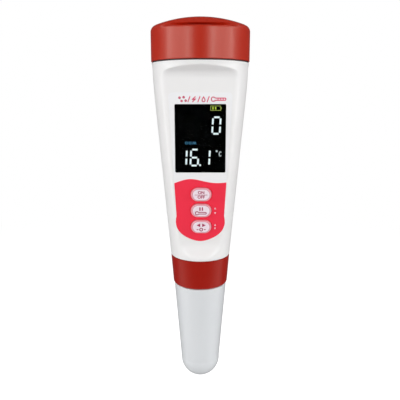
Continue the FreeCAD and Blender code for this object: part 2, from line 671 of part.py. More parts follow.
def power_terminals():
    """Two bent strips on the top of the board that meet the battery contacts."""
    pad_top = TRAY_BASE - TERMINAL_DROP
    pad_low = pad_top - TERMINAL_THICK
    foot_top = BOARD_TOP - TERMINAL_WIDTH
    foot_low = foot_top - TERMINAL_WIDTH
    leg_y = board_back_y(BOARD_TOP) + TERMINAL_THICK
    behind_board = on_panel(block(-FAR, FAR, BOARD_BACK, FAR, -FAR, FAR))
    strips = []
    for side in (-1, 1):
        x0, x1 = sorted((side * TERMINAL_INSIDE, side * TROUGH_HALF))
        pad = block(x0, x1, leg_y, TERMINAL_DEPTH, pad_low, pad_top)
        x0, x1 = sorted((side * TERMINAL_INSIDE, side * (TERMINAL_INSIDE + TERMINAL_WIDTH)))
        leg = block(x0, x1, leg_y, leg_y + TERMINAL_THICK, foot_low, pad_top)
        foot = block(x0, x1, -PANEL_DEPTH, leg_y + TERMINAL_THICK, foot_low, foot_top).common(behind_board)
        strips.append(pad.fuse([leg, foot]).removeSplitter())
    return together(*strips)


def battery_tray():
    """Round tray that drops into the neck, with a trough across it for the stack of cells."""
    seat = rod(TRAY_RADIUS, SEAT_GAP, NECK_HEIGHT)
    half_depth = TROUGH_RADIUS + TRAY_WALL
    lower = rod(LEDGE_BORE - SLIDE_GAP, TRAY_BASE, TRAY_FLOOR)
    lower = lower.common(block(-FAR, FAR, -half_depth, half_depth, -FAR, FAR))
    body = seat.fuse(lower).removeSplitter()
    trough = Part.makeCylinder(TROUGH_RADIUS, 2 * TROUGH_HALF, V(-TROUGH_HALF, 0, CELL_HEIGHT), V(1, 0, 0))
    mouth = block(-TROUGH_HALF, TROUGH_HALF, -TROUGH_RADIUS, TROUGH_RADIUS, CELL_HEIGHT, FAR)
    pockets = rod(TRAY_RADIUS - TRAY_WALL, SEAT_GAP + TRAY_FLOOR, FAR)
    pockets = pockets.cut(block(-FAR, FAR, -half_depth, half_depth, 0, FAR))
    slot_half = TAIL_WIDTH / 2 + 2 * TURN_GAP
    slot_thick = CONTACT_THICK + 2 * TURN_GAP
    slots = [block(x0, x0 + slot_thick, -slot_half, slot_half, -FAR, CELL_HEIGHT)
             for x0 in (-TROUGH_HALF, TROUGH_HALF - slot_thick)]
    return body.cut([trough, mouth, pockets] + slots)


def button_cell(index):
    """Button cell lying on its side: a rounded can and a raised negative end."""
    left = STACK_LEFT + index * CELL_THICK
    can = Part.makeCylinder(CELL_RADIUS, CELL_THICK - CELL_END, V(left + CELL_END, 0, CELL_HEIGHT), V(1, 0, 0))
    can = can.makeFillet(CELL_ROUNDING, [e for e in can.Edges if isinstance(e.Curve, Part.Circle)])
    end = Part.makeCylinder(CELL_RADIUS - 2 * CELL_ROUNDING, CELL_THICK / 2, V(left, 0, CELL_HEIGHT), V(1, 0, 0))
    return can.fuse(end).removeSplitter()


def contact(left):
    """Round plate across the end of the trough, with a tail through its floor."""
    plate = Part.makeCylinder(CELL_RADIUS - CONTACT_STEP, CONTACT_THICK, V(left, 0, CELL_HEIGHT), V(1, 0, 0))
    tail = block(left, left + CONTACT_THICK, -TAIL_WIDTH / 2, TAIL_WIDTH / 2, TRAY_BASE - TAIL_LENGTH, CELL_HEIGHT)
    return plate.fuse(tail).removeSplitter()


def battery_plate():
    """Positive contact: a plate at the end of the trough with a tail through its floor."""
    return contact(STACK_LEFT + STACK)


def battery_spring():
    """Negative contact: a plate with a bowed leaf that pushes the stack of cells along."""
    left = STACK_LEFT - SPRING_ROOM - CONTACT_THICK
    inner = left + CONTACT_THICK
    reach = CELL_RADIUS - 2 * CONTACT_STEP
    root = reach - LEAF_THICK
    bow = prism([(inner, CELL_HEIGHT - reach), ((inner + SPRING_ROOM, CELL_HEIGHT), (inner, CELL_HEIGHT + reach)),
                 (inner, CELL_HEIGHT + root), ((inner + SPRING_ROOM - LEAF_THICK, CELL_HEIGHT),
                                               (inner, CELL_HEIGHT - root))], -TAIL_WIDTH / 2, TAIL_WIDTH / 2)
    return contact(left).fuse(bow).removeSplitter()


def collar_ring():
    """Smooth union ring: the casing's spigot turns in its bore, and its lip carries the module."""
    lip_top = FLANGE_BOTTOM - TURN_GAP
    outside = turned(
        (0, COLLAR_BOTTOM),
        (COLLAR_LOWER_RADIUS, COLLAR_BOTTOM),
        (CASE_BOTTOM_RADIUS, COLLAR_TOP),
        (0, COLLAR_TOP),
    )
    lower = [e for e in outside.Edges if abs(e.BoundBox.ZMax - COLLAR_BOTTOM) < 0.01]
    outside = outside.makeFillet(COLLAR_ROUNDING, lower)
    bore = rod(SPIGOT_RADIUS + SLIDE_GAP, lip_top, 0)
    mouth = rod(SHOULDER_RADIUS + SLIDE_GAP, -FAR, 0)
    return outside.cut([bore, mouth])


def probe_body():
    """Stepped body of the module: plug, flange, shoulder and barrel, with two seal grooves."""
    body = turned(
        (0, BARREL_BOTTOM),
        (BARREL_RADIUS, BARREL_BOTTOM),
        (BARREL_RADIUS, SHOULDER_BOTTOM),
        (SHOULDER_RADIUS - SHOULDER_BEVEL, SHOULDER_BOTTOM),
        (SHOULDER_RADIUS, SHOULDER_BOTTOM + SHOULDER_BEVEL),
        (SHOULDER_RADIUS, FLANGE_BOTTOM),
        (FLANGE_RADIUS, FLANGE_BOTTOM),
        (FLANGE_RADIUS, FLANGE_TOP),
        (PLUG_RADIUS, FLANGE_TOP),
        (PLUG_RADIUS, PLUG_TOP - PLUG_BEVEL),
        (PLUG_RADIUS - PLUG_BEVEL, PLUG_TOP),
        (0, PLUG_TOP),
    )
    half = 1.1 * SEAL_SECTION
    grooves = [tube(FAR, radius - SEAL_SECTION - SEAT_GAP, height - half, height + half)
               for radius, height in ((MODULE_SEAL_RADIUS, MODULE_SEAL_HEIGHT), (CAP_SEAL_RADIUS, CAP_SEAL_HEIGHT))]
    return body.cut(grooves)


MODULE_SEAL_RADIUS = SPIGOT_BORE - TURN_GAP - SEAL_SECTION
MODULE_SEAL_HEIGHT = PLUG_TOP - MODULE_SEAL_BELOW
CAP_SEAL_HEIGHT = SHOULDER_BOTTOM + CAP_SEAL_ABOVE


def protect_radius(z, wall=0.0):
    """Radius of the protective cap's taper at a height, outside or set in by a wall."""
    lean = math.atan(PROTECT_TAPER)
    middle = PROTECT_TIP + PROTECT_TIP_RADIUS
    radius = PROTECT_TIP_RADIUS - wall
    return radius * math.cos(lean) + PROTECT_TAPER * (z - middle - radius * math.sin(lean))


CAP_SEAL_RADIUS = protect_radius(CAP_SEAL_HEIGHT, PROTECT_WALL) - 2 * TURN_GAP - SEAL_SECTION


def capsule(wall, top):
    """Tapered round-ended form of the protective cap, set in by a wall."""
    lean = math.atan(PROTECT_TAPER)
    radius = PROTECT_TIP_RADIUS - wall
    middle = PROTECT_TIP + PROTECT_TIP_RADIUS
    half = (lean - math.pi / 2) / 2
    return turned(
        (0, middle - radius),
        ((radius * math.cos(half), middle + radius * math.sin(half)),
         (radius * math.cos(lean), middle + radius * math.sin(lean))),
        (protect_radius(top, wall), top),
        (0, top),
    )


def protective_cap():
    outside = capsule(0.0, PROTECT_TOP)
    rim = [e for e in outside.Edges if abs(e.BoundBox.ZMin - PROTECT_TOP) < 0.01]
    outside = outside.makeFillet(PROTECT_RIM, rim)
    return outside.cut(capsule(PROTECT_WALL, PROTECT_TOP + PROTECT_WALL))


def storage_sponge():
    """Soft wet pad in the end of the protective cap."""
    fill = capsule(PROTECT_WALL + SPONGE_GAP, SPONGE_TOP)
    radius, depth = SPONGE_HOLLOW
    return fill.cut(rod(radius, SPONGE_TOP - depth, 0))


def probe_guard():
    """Slotted tube round the sensors, pushed over the barrel."""
    top = SHOULDER_BOTTOM - TURN_GAP
    low = top - GUARD_LENGTH
    wall = tube(GUARD_RADIUS, GUARD_RADIUS - GUARD_WALL, low, top)
    half = GUARD_WINDOW_SHARE * GUARD_RADIUS / 2
    start = BARREL_BOTTOM - GUARD_WINDOW_BELOW
    window = prism(rounded(half, start - GUARD_WINDOW_HEIGHT, start, half - SEAT_GAP), -FAR, FAR)
    other = window.copy()
    other.rotate(V(0, 0, 0), V(0, 0, 1), 90)
    return wall.cut([window, other])


def ph_bulb():
    """Glass stem with a round sensing bulb."""
    stem = rod(STEM_RADIUS, BULB_CENTRE, BARREL_BOTTOM)
    ball = Part.makeSphere(BULB_RADIUS, V(0, 0, BULB_CENTRE))
    return stem.fuse(ball).removeSplitter()


def conductivity_pins():
    pins = []
    for side in (-1, 1):
        pin = rod(PIN_RADIUS, PIN_BOTTOM, BARREL_BOTTOM, side * PIN_CIRCLE)
        tip = [e for e in pin.Edges if abs(e.BoundBox.ZMax - PIN_BOTTOM) < 0.01]
        pins.append(pin.makeFillet(PIN_RADIUS * 0.6, tip))
    return together(*pins)


def temperature_sensor():
    """Metal sleeve with a round end."""
    low = BARREL_BOTTOM - SENSOR_LENGTH
    sleeve = rod(SENSOR_RADIUS, low + SENSOR_RADIUS, BARREL_BOTTOM, 0, PIN_CIRCLE)
    tip = Part.makeSphere(SENSOR_RADIUS, V(0, PIN_CIRCLE, low + SENSOR_RADIUS))
    return sleeve.fuse(tip).removeSplitter()


def reference_junction():
    return rod(JUNCTION_RADIUS, BARREL_BOTTOM - JUNCTION_LENGTH, BARREL_BOTTOM, 0, -PIN_CIRCLE)


def board_socket():
    """Shroud on the back of the board, open downwards, for the module's contact blade."""
    outer = block(-SOCKET_WIDTH / 2, SOCKET_WIDTH / 2, SOCKET_Y - SOCKET_DEPTH / 2,
                  SOCKET_Y + SOCKET_DEPTH / 2, SOCKET_LOW, SOCKET_LOW + SOCKET_HEIGHT)
    inner = block(-SOCKET_WIDTH / 2 + SOCKET_WALL, SOCKET_WIDTH / 2 - SOCKET_WALL,
                  SOCKET_Y - SOCKET_DEPTH / 2 + SOCKET_WALL, SOCKET_Y + SOCKET_DEPTH / 2 - SOCKET_WALL,
                  -FAR, SOCKET_LOW + SOCKET_HEIGHT - SOCKET_WALL)
    board = on_panel(block(-FAR, FAR, -FAR, BOARD_BACK, -FAR, FAR))
    return outer.cut(inner).cut(board)


def probe_connector():
    """Header on top of the module, with six contact pins that enter the board's socket."""
    width = SOCKET_WIDTH / 2 - SOCKET_WALL - SLIDE_GAP
    header = block(-width, width, SOCKET_Y - HEADER_DEPTH / 2, SOCKET_Y + HEADER_DEPTH / 2,
                   PLUG_TOP, PLUG_TOP + HEADER_HEIGHT)
    half = CONTACT_WIDTH / 2
    reach = width - CONTACT_WIDTH
    pins = []
    for i in range(CONTACT_COUNT):
        x = reach * (2 * i / (CONTACT_COUNT - 1) - 1)
        pins.append(block(x - half, x + half, SOCKET_Y - half, SOCKET_Y + half,
                          PLUG_TOP + HEADER_HEIGHT / 2, PLUG_TOP + CONTACT_LENGTH))
    return header.fuse(pins).removeSplitter()


PARTS["casing"] = casing()
PARTS["battery_cap"] = battery_cap()
PARTS["cap_gasket"] = cap_gasket()
PARTS["battery_tray"] = battery_tray()
for number in range(CELL_COUNT):
    PARTS["button_cell_%d" % (number + 1)] = button_cell(number)
PARTS["battery_plate"] = battery_plate()
PARTS["battery_spring"] = battery_spring()
PARTS["power_terminals"] = power_terminals()
PARTS["overlay_label"] = overlay_label()
PARTS["key_field"] = key_field()
PARTS["display_window"] = display_window()
PARTS["display_frame"] = display_frame()
PARTS["display_glass"] = display_glass()
PARTS["display_light"] = display_light()
PARTS["contact_strips"] = contact_strips()
PARTS["main_board"] = main_board()
PARTS["board_screws"] = board_screws()
PARTS["processor"] = chip((WINDOW_TOP + WINDOW_BOTTOM) / 2, PROCESSOR_SIZE, 7)
PARTS["signal_amplifier"] = chip(KEY_HEIGHTS[1], AMPLIFIER_SIZE, 4)
for name, height in zip(("key_power", "key_hold", "key_mode"), KEY_HEIGHTS):
    PARTS[name] = key(height)
PARTS["key_guide"] = key_guide()
PARTS["key_domes"] = key_domes()
PARTS["board_socket"] = board_socket()
PARTS["collar_ring"] = collar_ring()
PARTS["probe_body"] = probe_body()
PARTS["module_seal"] = torus_seal(MODULE_SEAL_RADIUS, MODULE_SEAL_HEIGHT)
PARTS["cap_seal"] = torus_seal(CAP_SEAL_RADIUS, CAP_SEAL_HEIGHT)
PARTS["probe_connector"] = probe_connector()
PARTS["probe_guard"] = probe_guard()
PARTS["ph_bulb"] = ph_bulb()
PARTS["conductivity_pins"] = conductivity_pins()
PARTS["temperature_sensor"] = temperature_sensor()
PARTS["reference_junction"] = reference_junction()
PARTS["protective_cap"] = protective_cap()
PARTS["storage_sponge"] = storage_sponge()

os.makedirs("parts", exist_ok=True)
for name, shape in PARTS.items():
    shape.exportStep("parts/%s.step" % name)
    print(name, round(shape.Volume, 2), len(shape.Solids), shape.isValid())
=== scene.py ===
import bpy
import bmesh
import math
from mathutils import Matrix, Vector


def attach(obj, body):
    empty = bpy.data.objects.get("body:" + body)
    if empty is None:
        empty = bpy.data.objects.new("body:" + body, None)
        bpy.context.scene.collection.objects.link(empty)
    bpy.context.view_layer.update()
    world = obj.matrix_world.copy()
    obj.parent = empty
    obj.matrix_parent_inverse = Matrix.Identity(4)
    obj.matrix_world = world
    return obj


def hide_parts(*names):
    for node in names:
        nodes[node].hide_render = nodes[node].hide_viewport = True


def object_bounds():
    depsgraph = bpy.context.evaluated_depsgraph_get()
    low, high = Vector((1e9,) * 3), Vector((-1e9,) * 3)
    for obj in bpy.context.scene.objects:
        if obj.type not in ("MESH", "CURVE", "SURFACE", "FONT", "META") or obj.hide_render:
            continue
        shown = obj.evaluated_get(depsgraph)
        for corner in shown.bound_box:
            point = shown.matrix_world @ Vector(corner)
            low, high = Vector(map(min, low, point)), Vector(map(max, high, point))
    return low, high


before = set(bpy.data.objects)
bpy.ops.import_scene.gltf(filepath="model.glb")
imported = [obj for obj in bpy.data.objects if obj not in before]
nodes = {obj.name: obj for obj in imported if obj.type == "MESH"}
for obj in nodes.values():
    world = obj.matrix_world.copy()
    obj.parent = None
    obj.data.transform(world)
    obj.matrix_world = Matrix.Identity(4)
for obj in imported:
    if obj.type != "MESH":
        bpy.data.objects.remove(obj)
cad_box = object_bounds()
MM = 0.001


# The view: the pen hangs upright in front of a camera that stands a hand's length away, a little
# under the head, and looks slightly down. Broad soft lamps and narrow strips at both sides give
# the pale stripes on the red head, and everything behind is white.
CAMERA_AWAY = 199.5 * MM
CAMERA_HEIGHT = -15.5 * MM
CAMERA_SIDE = -0.13 * MM
CAMERA_PITCH = math.radians(90 - 11.87)
LENS = 42.3

scene = bpy.context.scene
scene.view_settings.view_transform = "Standard"

camera = bpy.data.objects.new("camera", bpy.data.cameras.new("camera"))
scene.collection.objects.link(camera)
camera.location = (CAMERA_SIDE, -CAMERA_AWAY, CAMERA_HEIGHT)
camera.rotation_euler = (CAMERA_PITCH, 0, 0)
camera.data.lens = LENS
camera.data.clip_start = 0.01
scene.camera = camera

LAMP_TARGET = Vector((0, 0, -0.02))


def soft_lamp(name, place, width, height, power):
    """A rectangular soft box at a place, turned towards the middle of the pen."""
    lamp = bpy.data.lights.new(name, "AREA")
    lamp.shape = "RECTANGLE"
    lamp.size = width
    lamp.size_y = height
    lamp.energy = power
    box = bpy.data.objects.new(name, lamp)
    box.location = place
    box.rotation_euler = (LAMP_TARGET - Vector(place)).to_track_quat("-Z", "Y").to_euler()
    scene.collection.objects.link(box)


soft_lamp("lamp_left", (-0.464, -0.411, 0.09), 0.76, 0.20, 1.54)
soft_lamp("lamp_right", (0.464, -0.411, 0.09), 0.76, 0.20, 1.50)
soft_lamp("strip_left", (-0.28, -0.53, 0.09), 0.07, 0.20, 0.20)
soft_lamp("strip_right", (0.28, -0.53, 0.09), 0.07, 0.20, 0.32)
soft_lamp("outer_strip_left", (-0.574, -0.175, 0.09), 0.07, 0.20, 0.15)
soft_lamp("outer_strip_right", (0.574, -0.175, 0.09), 0.07, 0.20, 0.15)
soft_lamp("side_lamp_left", (-0.58, -0.06, 0.30), 0.35, 0.35, 0.66)
soft_lamp("side_lamp_right", (0.58, -0.06, 0.30), 0.35, 0.35, 0.60)
soft_lamp("low_lamp_left", (-0.58, -0.06, -0.10), 0.30, 0.16, 0.42)
soft_lamp("low_lamp_right", (0.58, -0.06, -0.10), 0.30, 0.16, 0.38)


class Value:
    """A shader socket that can stand in a Python sum: each operator adds one Math node."""

    def __init__(self, finish, socket):
        self.finish = finish
        self.socket = socket

    def math(self, operation, first, second):
        return self.finish.node("ShaderNodeMath", {"operation": operation}, {0: first, 1: second})

    def __add__(self, other):
        return self.math("ADD", self, other)

    def __sub__(self, other):
        return self.math("SUBTRACT", self, other)

    def __rsub__(self, other):
        return self.math("SUBTRACT", other, self)

    def __mul__(self, other):
        return self.math("MULTIPLY", self, other)

    __radd__ = __add__
    __rmul__ = __mul__


class Finish:
    """The node tree of one finish, from its texture to its surface."""

    def __init__(self, name, owner=None):
        self.material = owner or bpy.data.materials.new(name)
        self.material.use_nodes = True
        self.tree = self.material.node_tree
        self.tree.nodes.clear()

    def node(self, kind, settings, inputs, output=0):
        made = self.tree.nodes.new(kind)
        for key, value in settings.items():
            if key == "stops":
                for number, (place, colour) in enumerate(value):
                    if number > 1:
                        made.color_ramp.elements.new(place)
                    made.color_ramp.elements[number].position = place
                    made.color_ramp.elements[number].color = colour
            else:
                setattr(made, key, value)
        for key, value in inputs.items():
            if isinstance(value, Value):
                self.tree.links.new(value.socket, made.inputs[key])
            else:
                made.inputs[key].default_value = value
        return Value(self, made.outputs[output])

    def place(self):
        return self.node("ShaderNodeTexCoord", {}, {}, 3)

    def noise(self, scale, detail=3.0, roughness=0.5):
        settings = {"Vector": self.place(), "Scale": scale, "Detail": detail, "Roughness": roughness}
        return self.node("ShaderNodeTexNoise", {}, settings)

    def ease(self, value, start, end, low=0.0, high=1.0):
        """Goes smoothly from low to high while the value goes from start to end."""
        return self.node("ShaderNodeMapRange", {"interpolation_type": "SMOOTHSTEP"}, {
            "Value": value, "From Min": start, "From Max": end, "To Min": low, "To Max": high})

    def blend(self, factor, low, high):
        made = self.tree.nodes.new("ShaderNodeMix")
        made.data_type = "RGBA"
        for key, value in ((0, factor), (6, low), (7, high)):
            if isinstance(value, Value):
                self.tree.links.new(value.socket, made.inputs[key])
            else:
                made.inputs[key].default_value = value
        return Value(self, made.outputs[2])

    def bump(self, height, depth, strength=1.0):
        sockets = {"Height": height, "Distance": depth, "Strength": strength}
        return self.node("ShaderNodeBump", {}, sockets)

    def surface(self, **sockets):
        inputs = {key.replace("_", " "): value for key, value in sockets.items()}
        return self.node("ShaderNodeBsdfPrincipled", {}, inputs)

    def done(self, shader):
        out = self.tree.nodes.new("ShaderNodeOutputMaterial")
        self.tree.links.new(shader.socket, out.inputs["Surface"])
        return self.material


def colour(red, green, blue):
    """A colour as it is seen on a screen, 0 to 255, turned into light values."""
    seen = [part / 255 for part in (red, green, blue)]
    return tuple(s / 12.92 if s <= 0.04045 else ((s + 0.055) / 1.055) ** 2.4 for s in seen) + (1.0,)


def give(piece, material):
    """Gives a piece one finish."""
    piece.data.materials.clear()
    piece.data.materials.append(material)


WHITE = (1.0, 1.0, 1.0, 1.0)
AMBIENT = 0.27
MIRRORED = 0.07
FLOOR_BELOW = 60 * MM
FLOOR_SIZE = 4.0

# The room fills in soft light, more from above and from behind. The lens sees it as plain white,
# and so do mirrored and clear rays, but only towards the back and the mirrored ones faintly.
scene.world = bpy.data.worlds.new("room")
room = Finish("room", scene.world)
room_way = room.node("ShaderNodeTexCoord", {}, {}, 0)
room_y = room.node("ShaderNodeSeparateXYZ", {}, {0: room_way}, 1)
room_z = room.node("ShaderNodeSeparateXYZ", {}, {0: room_way}, 2)
room_back = room.ease(room_y, -0.35, 0.15)
room_above = room.ease(room_z, 0.0, 0.8, 0.12, 1.65)
room_rear = room.ease(room_y, 0.0, 0.7, 1.0, 4.2)
room_seen = room.node("ShaderNodeLightPath", {}, {}, 0)
room_glossy = room.node("ShaderNodeLightPath", {}, {}, 3)
room_clear = room.node("ShaderNodeLightPath", {}, {}, 6)
room_bounced = room.node("ShaderNodeMath", {"operation": "MAXIMUM"}, {0: room_glossy, 1: room_clear})
room_fill = room.node("ShaderNodeBackground", {}, {
    "Color": WHITE, "Strength": AMBIENT * room_above * room_rear * (1.0 - room_bounced)})
room_white = room.node("ShaderNodeBackground", {}, {"Color": WHITE, "Strength": 1.0})
room_share = room_seen + (MIRRORED * room_glossy + room_clear) * room_back
room_either = room.node("ShaderNodeMixShader", {}, {0: room_share, 1: room_fill, 2: room_white})
room.tree.links.new(room_either.socket, room.tree.nodes.new("ShaderNodeOutputWorld").inputs["Surface"])

floor_mesh = bpy.data.meshes.new("floor")
floor_height = cad_box[0].z - FLOOR_BELOW
half_floor = FLOOR_SIZE / 2
floor_mesh.from_pydata(
    [(-half_floor, -half_floor, floor_height), (half_floor, -half_floor, floor_height),
     (half_floor, half_floor, floor_height), (-half_floor, half_floor, floor_height)], [], [(0, 1, 2, 3)])
floor = bpy.data.objects.new("floor", floor_mesh)
scene.collection.objects.link(floor)
paper = Finish("floor_paper")
paper_place = paper.place()
paper_away = paper.node("ShaderNodeVectorMath", {"operation": "LENGTH"}, {0: paper_place}, 1)
paper_far = paper.ease(paper_away, 0.15, 0.6)
paper_y = paper.node("ShaderNodeSeparateXYZ", {}, {0: paper_place}, 1)
paper_side = paper.ease(paper_y, -0.19, -0.08)
paper_fall = paper.ease(paper_y, -0.02, 0.08, 0.6, MIRRORED)
paper_clear = paper.node("ShaderNodeLightPath", {}, {}, 6)
paper_matt = paper.node("ShaderNodeBsdfDiffuse", {}, {"Color": colour(176, 176, 176)})
paper_lift = paper.node("ShaderNodeEmission", {}, {"Color": WHITE, "Strength": 0.80})
paper_white = paper.node("ShaderNodeEmission", {}, {"Color": WHITE, "Strength": 1.0})
paper_mirrored = paper.node("ShaderNodeEmission", {}, {
    "Color": WHITE, "Strength": paper_side * (paper_fall + paper_clear)})
paper_near = paper.node("ShaderNodeAddShader", {}, {0: paper_matt, 1: paper_lift})
paper_seen = paper.node("ShaderNodeMixShader", {}, {0: paper_far, 1: paper_near, 2: paper_white})
paper_lit = paper.node("ShaderNodeMixShader", {}, {
    0: paper.node("ShaderNodeLightPath", {}, {}, 0), 1: paper_matt, 2: paper_seen})
give(floor, paper.done(paper.node("ShaderNodeMixShader", {}, {
    0: paper.node("ShaderNodeLightPath", {}, {}, 3), 1: paper_lit, 2: paper_mirrored})))


# The casing: one tapered white moulding, open at the neck where the battery tray drops in and at
# the spigot below. Its front is scooped to a flat under a sloping shelf, with soft edges where the
# flat meets the round side. It is drawn as rings round the long axis, outside and inside.
CASE_TOP_RADIUS = 19.5
CASE_TAPER = 0.0895
CASE_BARREL = 13.0
CASE_BOTTOM = -81.1
CASE_WALL = 1.9
LIP_FLARE = 0.4
LIP_LOW = -2.75
SEAM = -0.5
NECK_RADIUS = 17.4
NECK_TOP = 8.5
NECK_BORE = 15.4
LEDGE_BORE = 14.2
BULKHEAD = -2.0
SPIGOT_RADIUS = 10.6
SPIGOT_BORE = 8.6
SPIGOT_BOTTOM = -88.0
CAVITY_FLOOR = -78.0
PANEL_DEPTH = 12.8
PANEL_LEAN = 0.034
PANEL_WALL = 1.8
SHELF_TOP = -2.24
SHELF_SLOPE = 0.30
SHELF_FILLET = 3.5
FLAT_END = -73.8
RAMP_BOTTOM = -79.6
RAMP_POWER = 2.1
SIDE_SOFTNESS = 1.3
CASE_RING = 384


def case_radius(z):
    if z > -CASE_BARREL:
        round_side = CASE_TOP_RADIUS - CASE_TAPER * z * z / (2 * CASE_BARREL)
        flare = max(0.0, (z - LIP_LOW) / (SEAM - LIP_LOW))
        return round_side + LIP_FLARE * flare ** 2
    return CASE_TOP_RADIUS - CASE_TAPER * CASE_BARREL / 2 - CASE_TAPER * (-CASE_BARREL - z)


def flat_depth(z):
    return PANEL_DEPTH + PANEL_LEAN * z


def scoop_depth(z):
    """Distance of the scooped front from the long axis at a height."""
    lip = CASE_TOP_RADIUS + 0.2
    corner = SHELF_TOP - SHELF_SLOPE * (lip - PANEL_DEPTH)
    lean = math.hypot(1, SHELF_SLOPE)
    middle = corner + SHELF_FILLET * (SHELF_SLOPE - lean)
    if z < FLAT_END:
        share = (FLAT_END - z) / (FLAT_END - RAMP_BOTTOM)
        start = flat_depth(FLAT_END)
        return start + (case_radius(RAMP_BOTTOM) + 0.2 - start) * share ** RAMP_POWER
    if z < middle:
        return flat_depth(z)
    if z < middle + SHELF_FILLET / lean:
        return flat_depth(z) + SHELF_FILLET - math.sqrt(SHELF_FILLET ** 2 - (z - middle) ** 2)
    return flat_depth(corner) + (z - corner) / SHELF_SLOPE


def soft_least(first, second, softness):
    """The lesser of two sizes, eased where they are close."""
    near = max(softness - abs(first - second), 0.0) / softness
    return min(first, second) - near * near * softness / 4


def outside_ring(z):
    def radius(front):
        whole = case_radius(z)
        if front < 0.05:
            return whole
        return soft_least(whole, scoop_depth(z) / front, SIDE_SOFTNESS)
    return z, radius


def inside_ring(z):
    def radius(front):
        whole = case_radius(z) - CASE_WALL
        if front < 0.05:
            return whole
        return min(whole, (flat_depth(z) - PANEL_WALL) / front)
    return z, radius


def plain_ring(size, z):
    return z, lambda front: size


def steps(low, high, count):
    return [low + (high - low) * i / count for i in range(count + 1)]


def rings_mesh(name, rings, count, closed):
    """A mesh of rings round the long axis, joined in turn. Each ring is a height and a function
    that gives the radius from how far a point faces the front."""
    points = []
    for z, radius in rings:
        for i in range(count):
            turn = 2 * math.pi * i / count
            size = radius(-math.sin(turn))
            points.append((size * math.cos(turn) * MM, size * math.sin(turn) * MM, z * MM))
    faces = []
    last = len(rings) if closed else len(rings) - 1
    for row in range(last):
        above = (row + 1) % len(rings)
        for i in range(count):
            j = (i + 1) % count
            faces.append((row * count + i, row * count + j, above * count + j, above * count + i))
    mesh = bpy.data.meshes.new(name)
    mesh.from_pydata(points, [], faces)
    mesh.update()
    piece = bpy.data.objects.new(name, mesh)
    scene.collection.objects.link(piece)
    return piece


def smooth(piece, angle=35):
    """Smooth shading, with sharp edges past an angle."""
    piece.data.polygons.foreach_set("use_smooth", [True] * len(piece.data.polygons))
    piece.data.set_sharp_from_angle(angle=math.radians(angle))


EDGE = 0.15
outer_heights = (steps(CASE_BOTTOM + EDGE, -72.0, 24) + steps(-71.0, -8.0, 63) + steps(-7.7, -4.9, 12)
                 + steps(-4.8, -1.9, 36) + steps(-1.8, SEAM - EDGE, 8))
inner_heights = steps(-4.0, -76.0, 36)
rings = [plain_ring(SPIGOT_BORE, SPIGOT_BOTTOM + EDGE), plain_ring(SPIGOT_BORE + EDGE, SPIGOT_BOTTOM)]
rings += [plain_ring(SPIGOT_RADIUS - EDGE, SPIGOT_BOTTOM), plain_ring(SPIGOT_RADIUS, SPIGOT_BOTTOM + EDGE)]
rings += [plain_ring(SPIGOT_RADIUS, CASE_BOTTOM), plain_ring(case_radius(CASE_BOTTOM) - EDGE, CASE_BOTTOM)]
rings += [outside_ring(z) for z in outer_heights]
rings += [plain_ring(case_radius(SEAM) - EDGE, SEAM), plain_ring(NECK_RADIUS, SEAM)]
rings += [plain_ring(NECK_RADIUS, NECK_TOP - 2 * EDGE), plain_ring(NECK_RADIUS - 2 * EDGE, NECK_TOP)]
rings += [plain_ring(NECK_BORE + EDGE, NECK_TOP), plain_ring(NECK_BORE, NECK_TOP - EDGE)]
rings += [plain_ring(NECK_BORE, 0.0), plain_ring(LEDGE_BORE, 0.0), plain_ring(LEDGE_BORE, BULKHEAD)]
rings += [inside_ring(z) for z in inner_heights]
rings += [inside_ring(CAVITY_FLOOR), plain_ring(SPIGOT_BORE, CAVITY_FLOOR)]
casing = rings_mesh("casing_shell", rings, CASE_RING, True)

WINDOW_HALF = 10.1
WINDOW_TOP = -16.63
WINDOW_BOTTOM = -43.70
KEY_CENTRE_X = 0.35
KEY_HEIGHTS = {"key_power": -52.74, "key_hold": -59.47, "key_mode": -66.36}
KEY_HOLE_HALF = 4.325
KEY_HOLE_HEIGHT = 5.8
WINDOW_PLAY = 0.05
WINDOW_CORNER = 0.5
CUT_FRONT = -3.0
CUT_BACK = PANEL_WALL + 1

on_panel = Matrix.Translation((0, -PANEL_DEPTH * MM, 0)) @ Matrix.Rotation(math.atan(PANEL_LEAN), 4, "X")


def rounded_outline(half, low, high, corner, x=0.0, count=8):
    """Points of a rounded rectangle, anticlockwise as the reader sees it."""
    centres = ((half - corner, high - corner, 0), (-half + corner, high - corner, 90),
               (-half + corner, low + corner, 180), (half - corner, low + corner, 270))
    points = []
    for cx, cz, start in centres:
        for i in range(count + 1):
            turn = math.radians(start + 90 * i / count)
            points.append((x + cx + corner * math.cos(turn), cz + corner * math.sin(turn)))
    return points


def slab(name, outline, front, back):
    """A flat piece on the panel, from its outline in millimetres and its depths behind the flat."""
    body = bmesh.new()
    near = [body.verts.new((x * MM, front * MM, z * MM)) for x, z in outline]
    far = [body.verts.new((x * MM, back * MM, z * MM)) for x, z in outline]
    body.faces.new(near)
    body.faces.new(reversed(far))
    for i in range(len(outline)):
        j = (i + 1) % len(outline)
        body.faces.new((near[j], near[i], far[i], far[j]))
    bmesh.ops.recalc_face_normals(body, faces=body.faces)
    body.transform(on_panel)
    mesh = bpy.data.meshes.new(name)
    body.to_mesh(mesh)
    body.free()
    piece = bpy.data.objects.new(name, mesh)
    scene.collection.objects.link(piece)
    return piece


def plain_mesh(piece):
    """Turns a piece and its modifiers into a plain mesh."""
    bpy.context.view_layer.update()
    finished = bpy.data.meshes.new_from_object(piece.evaluated_get(bpy.context.evaluated_depsgraph_get()))
    piece.modifiers.clear()
    piece.data = finished


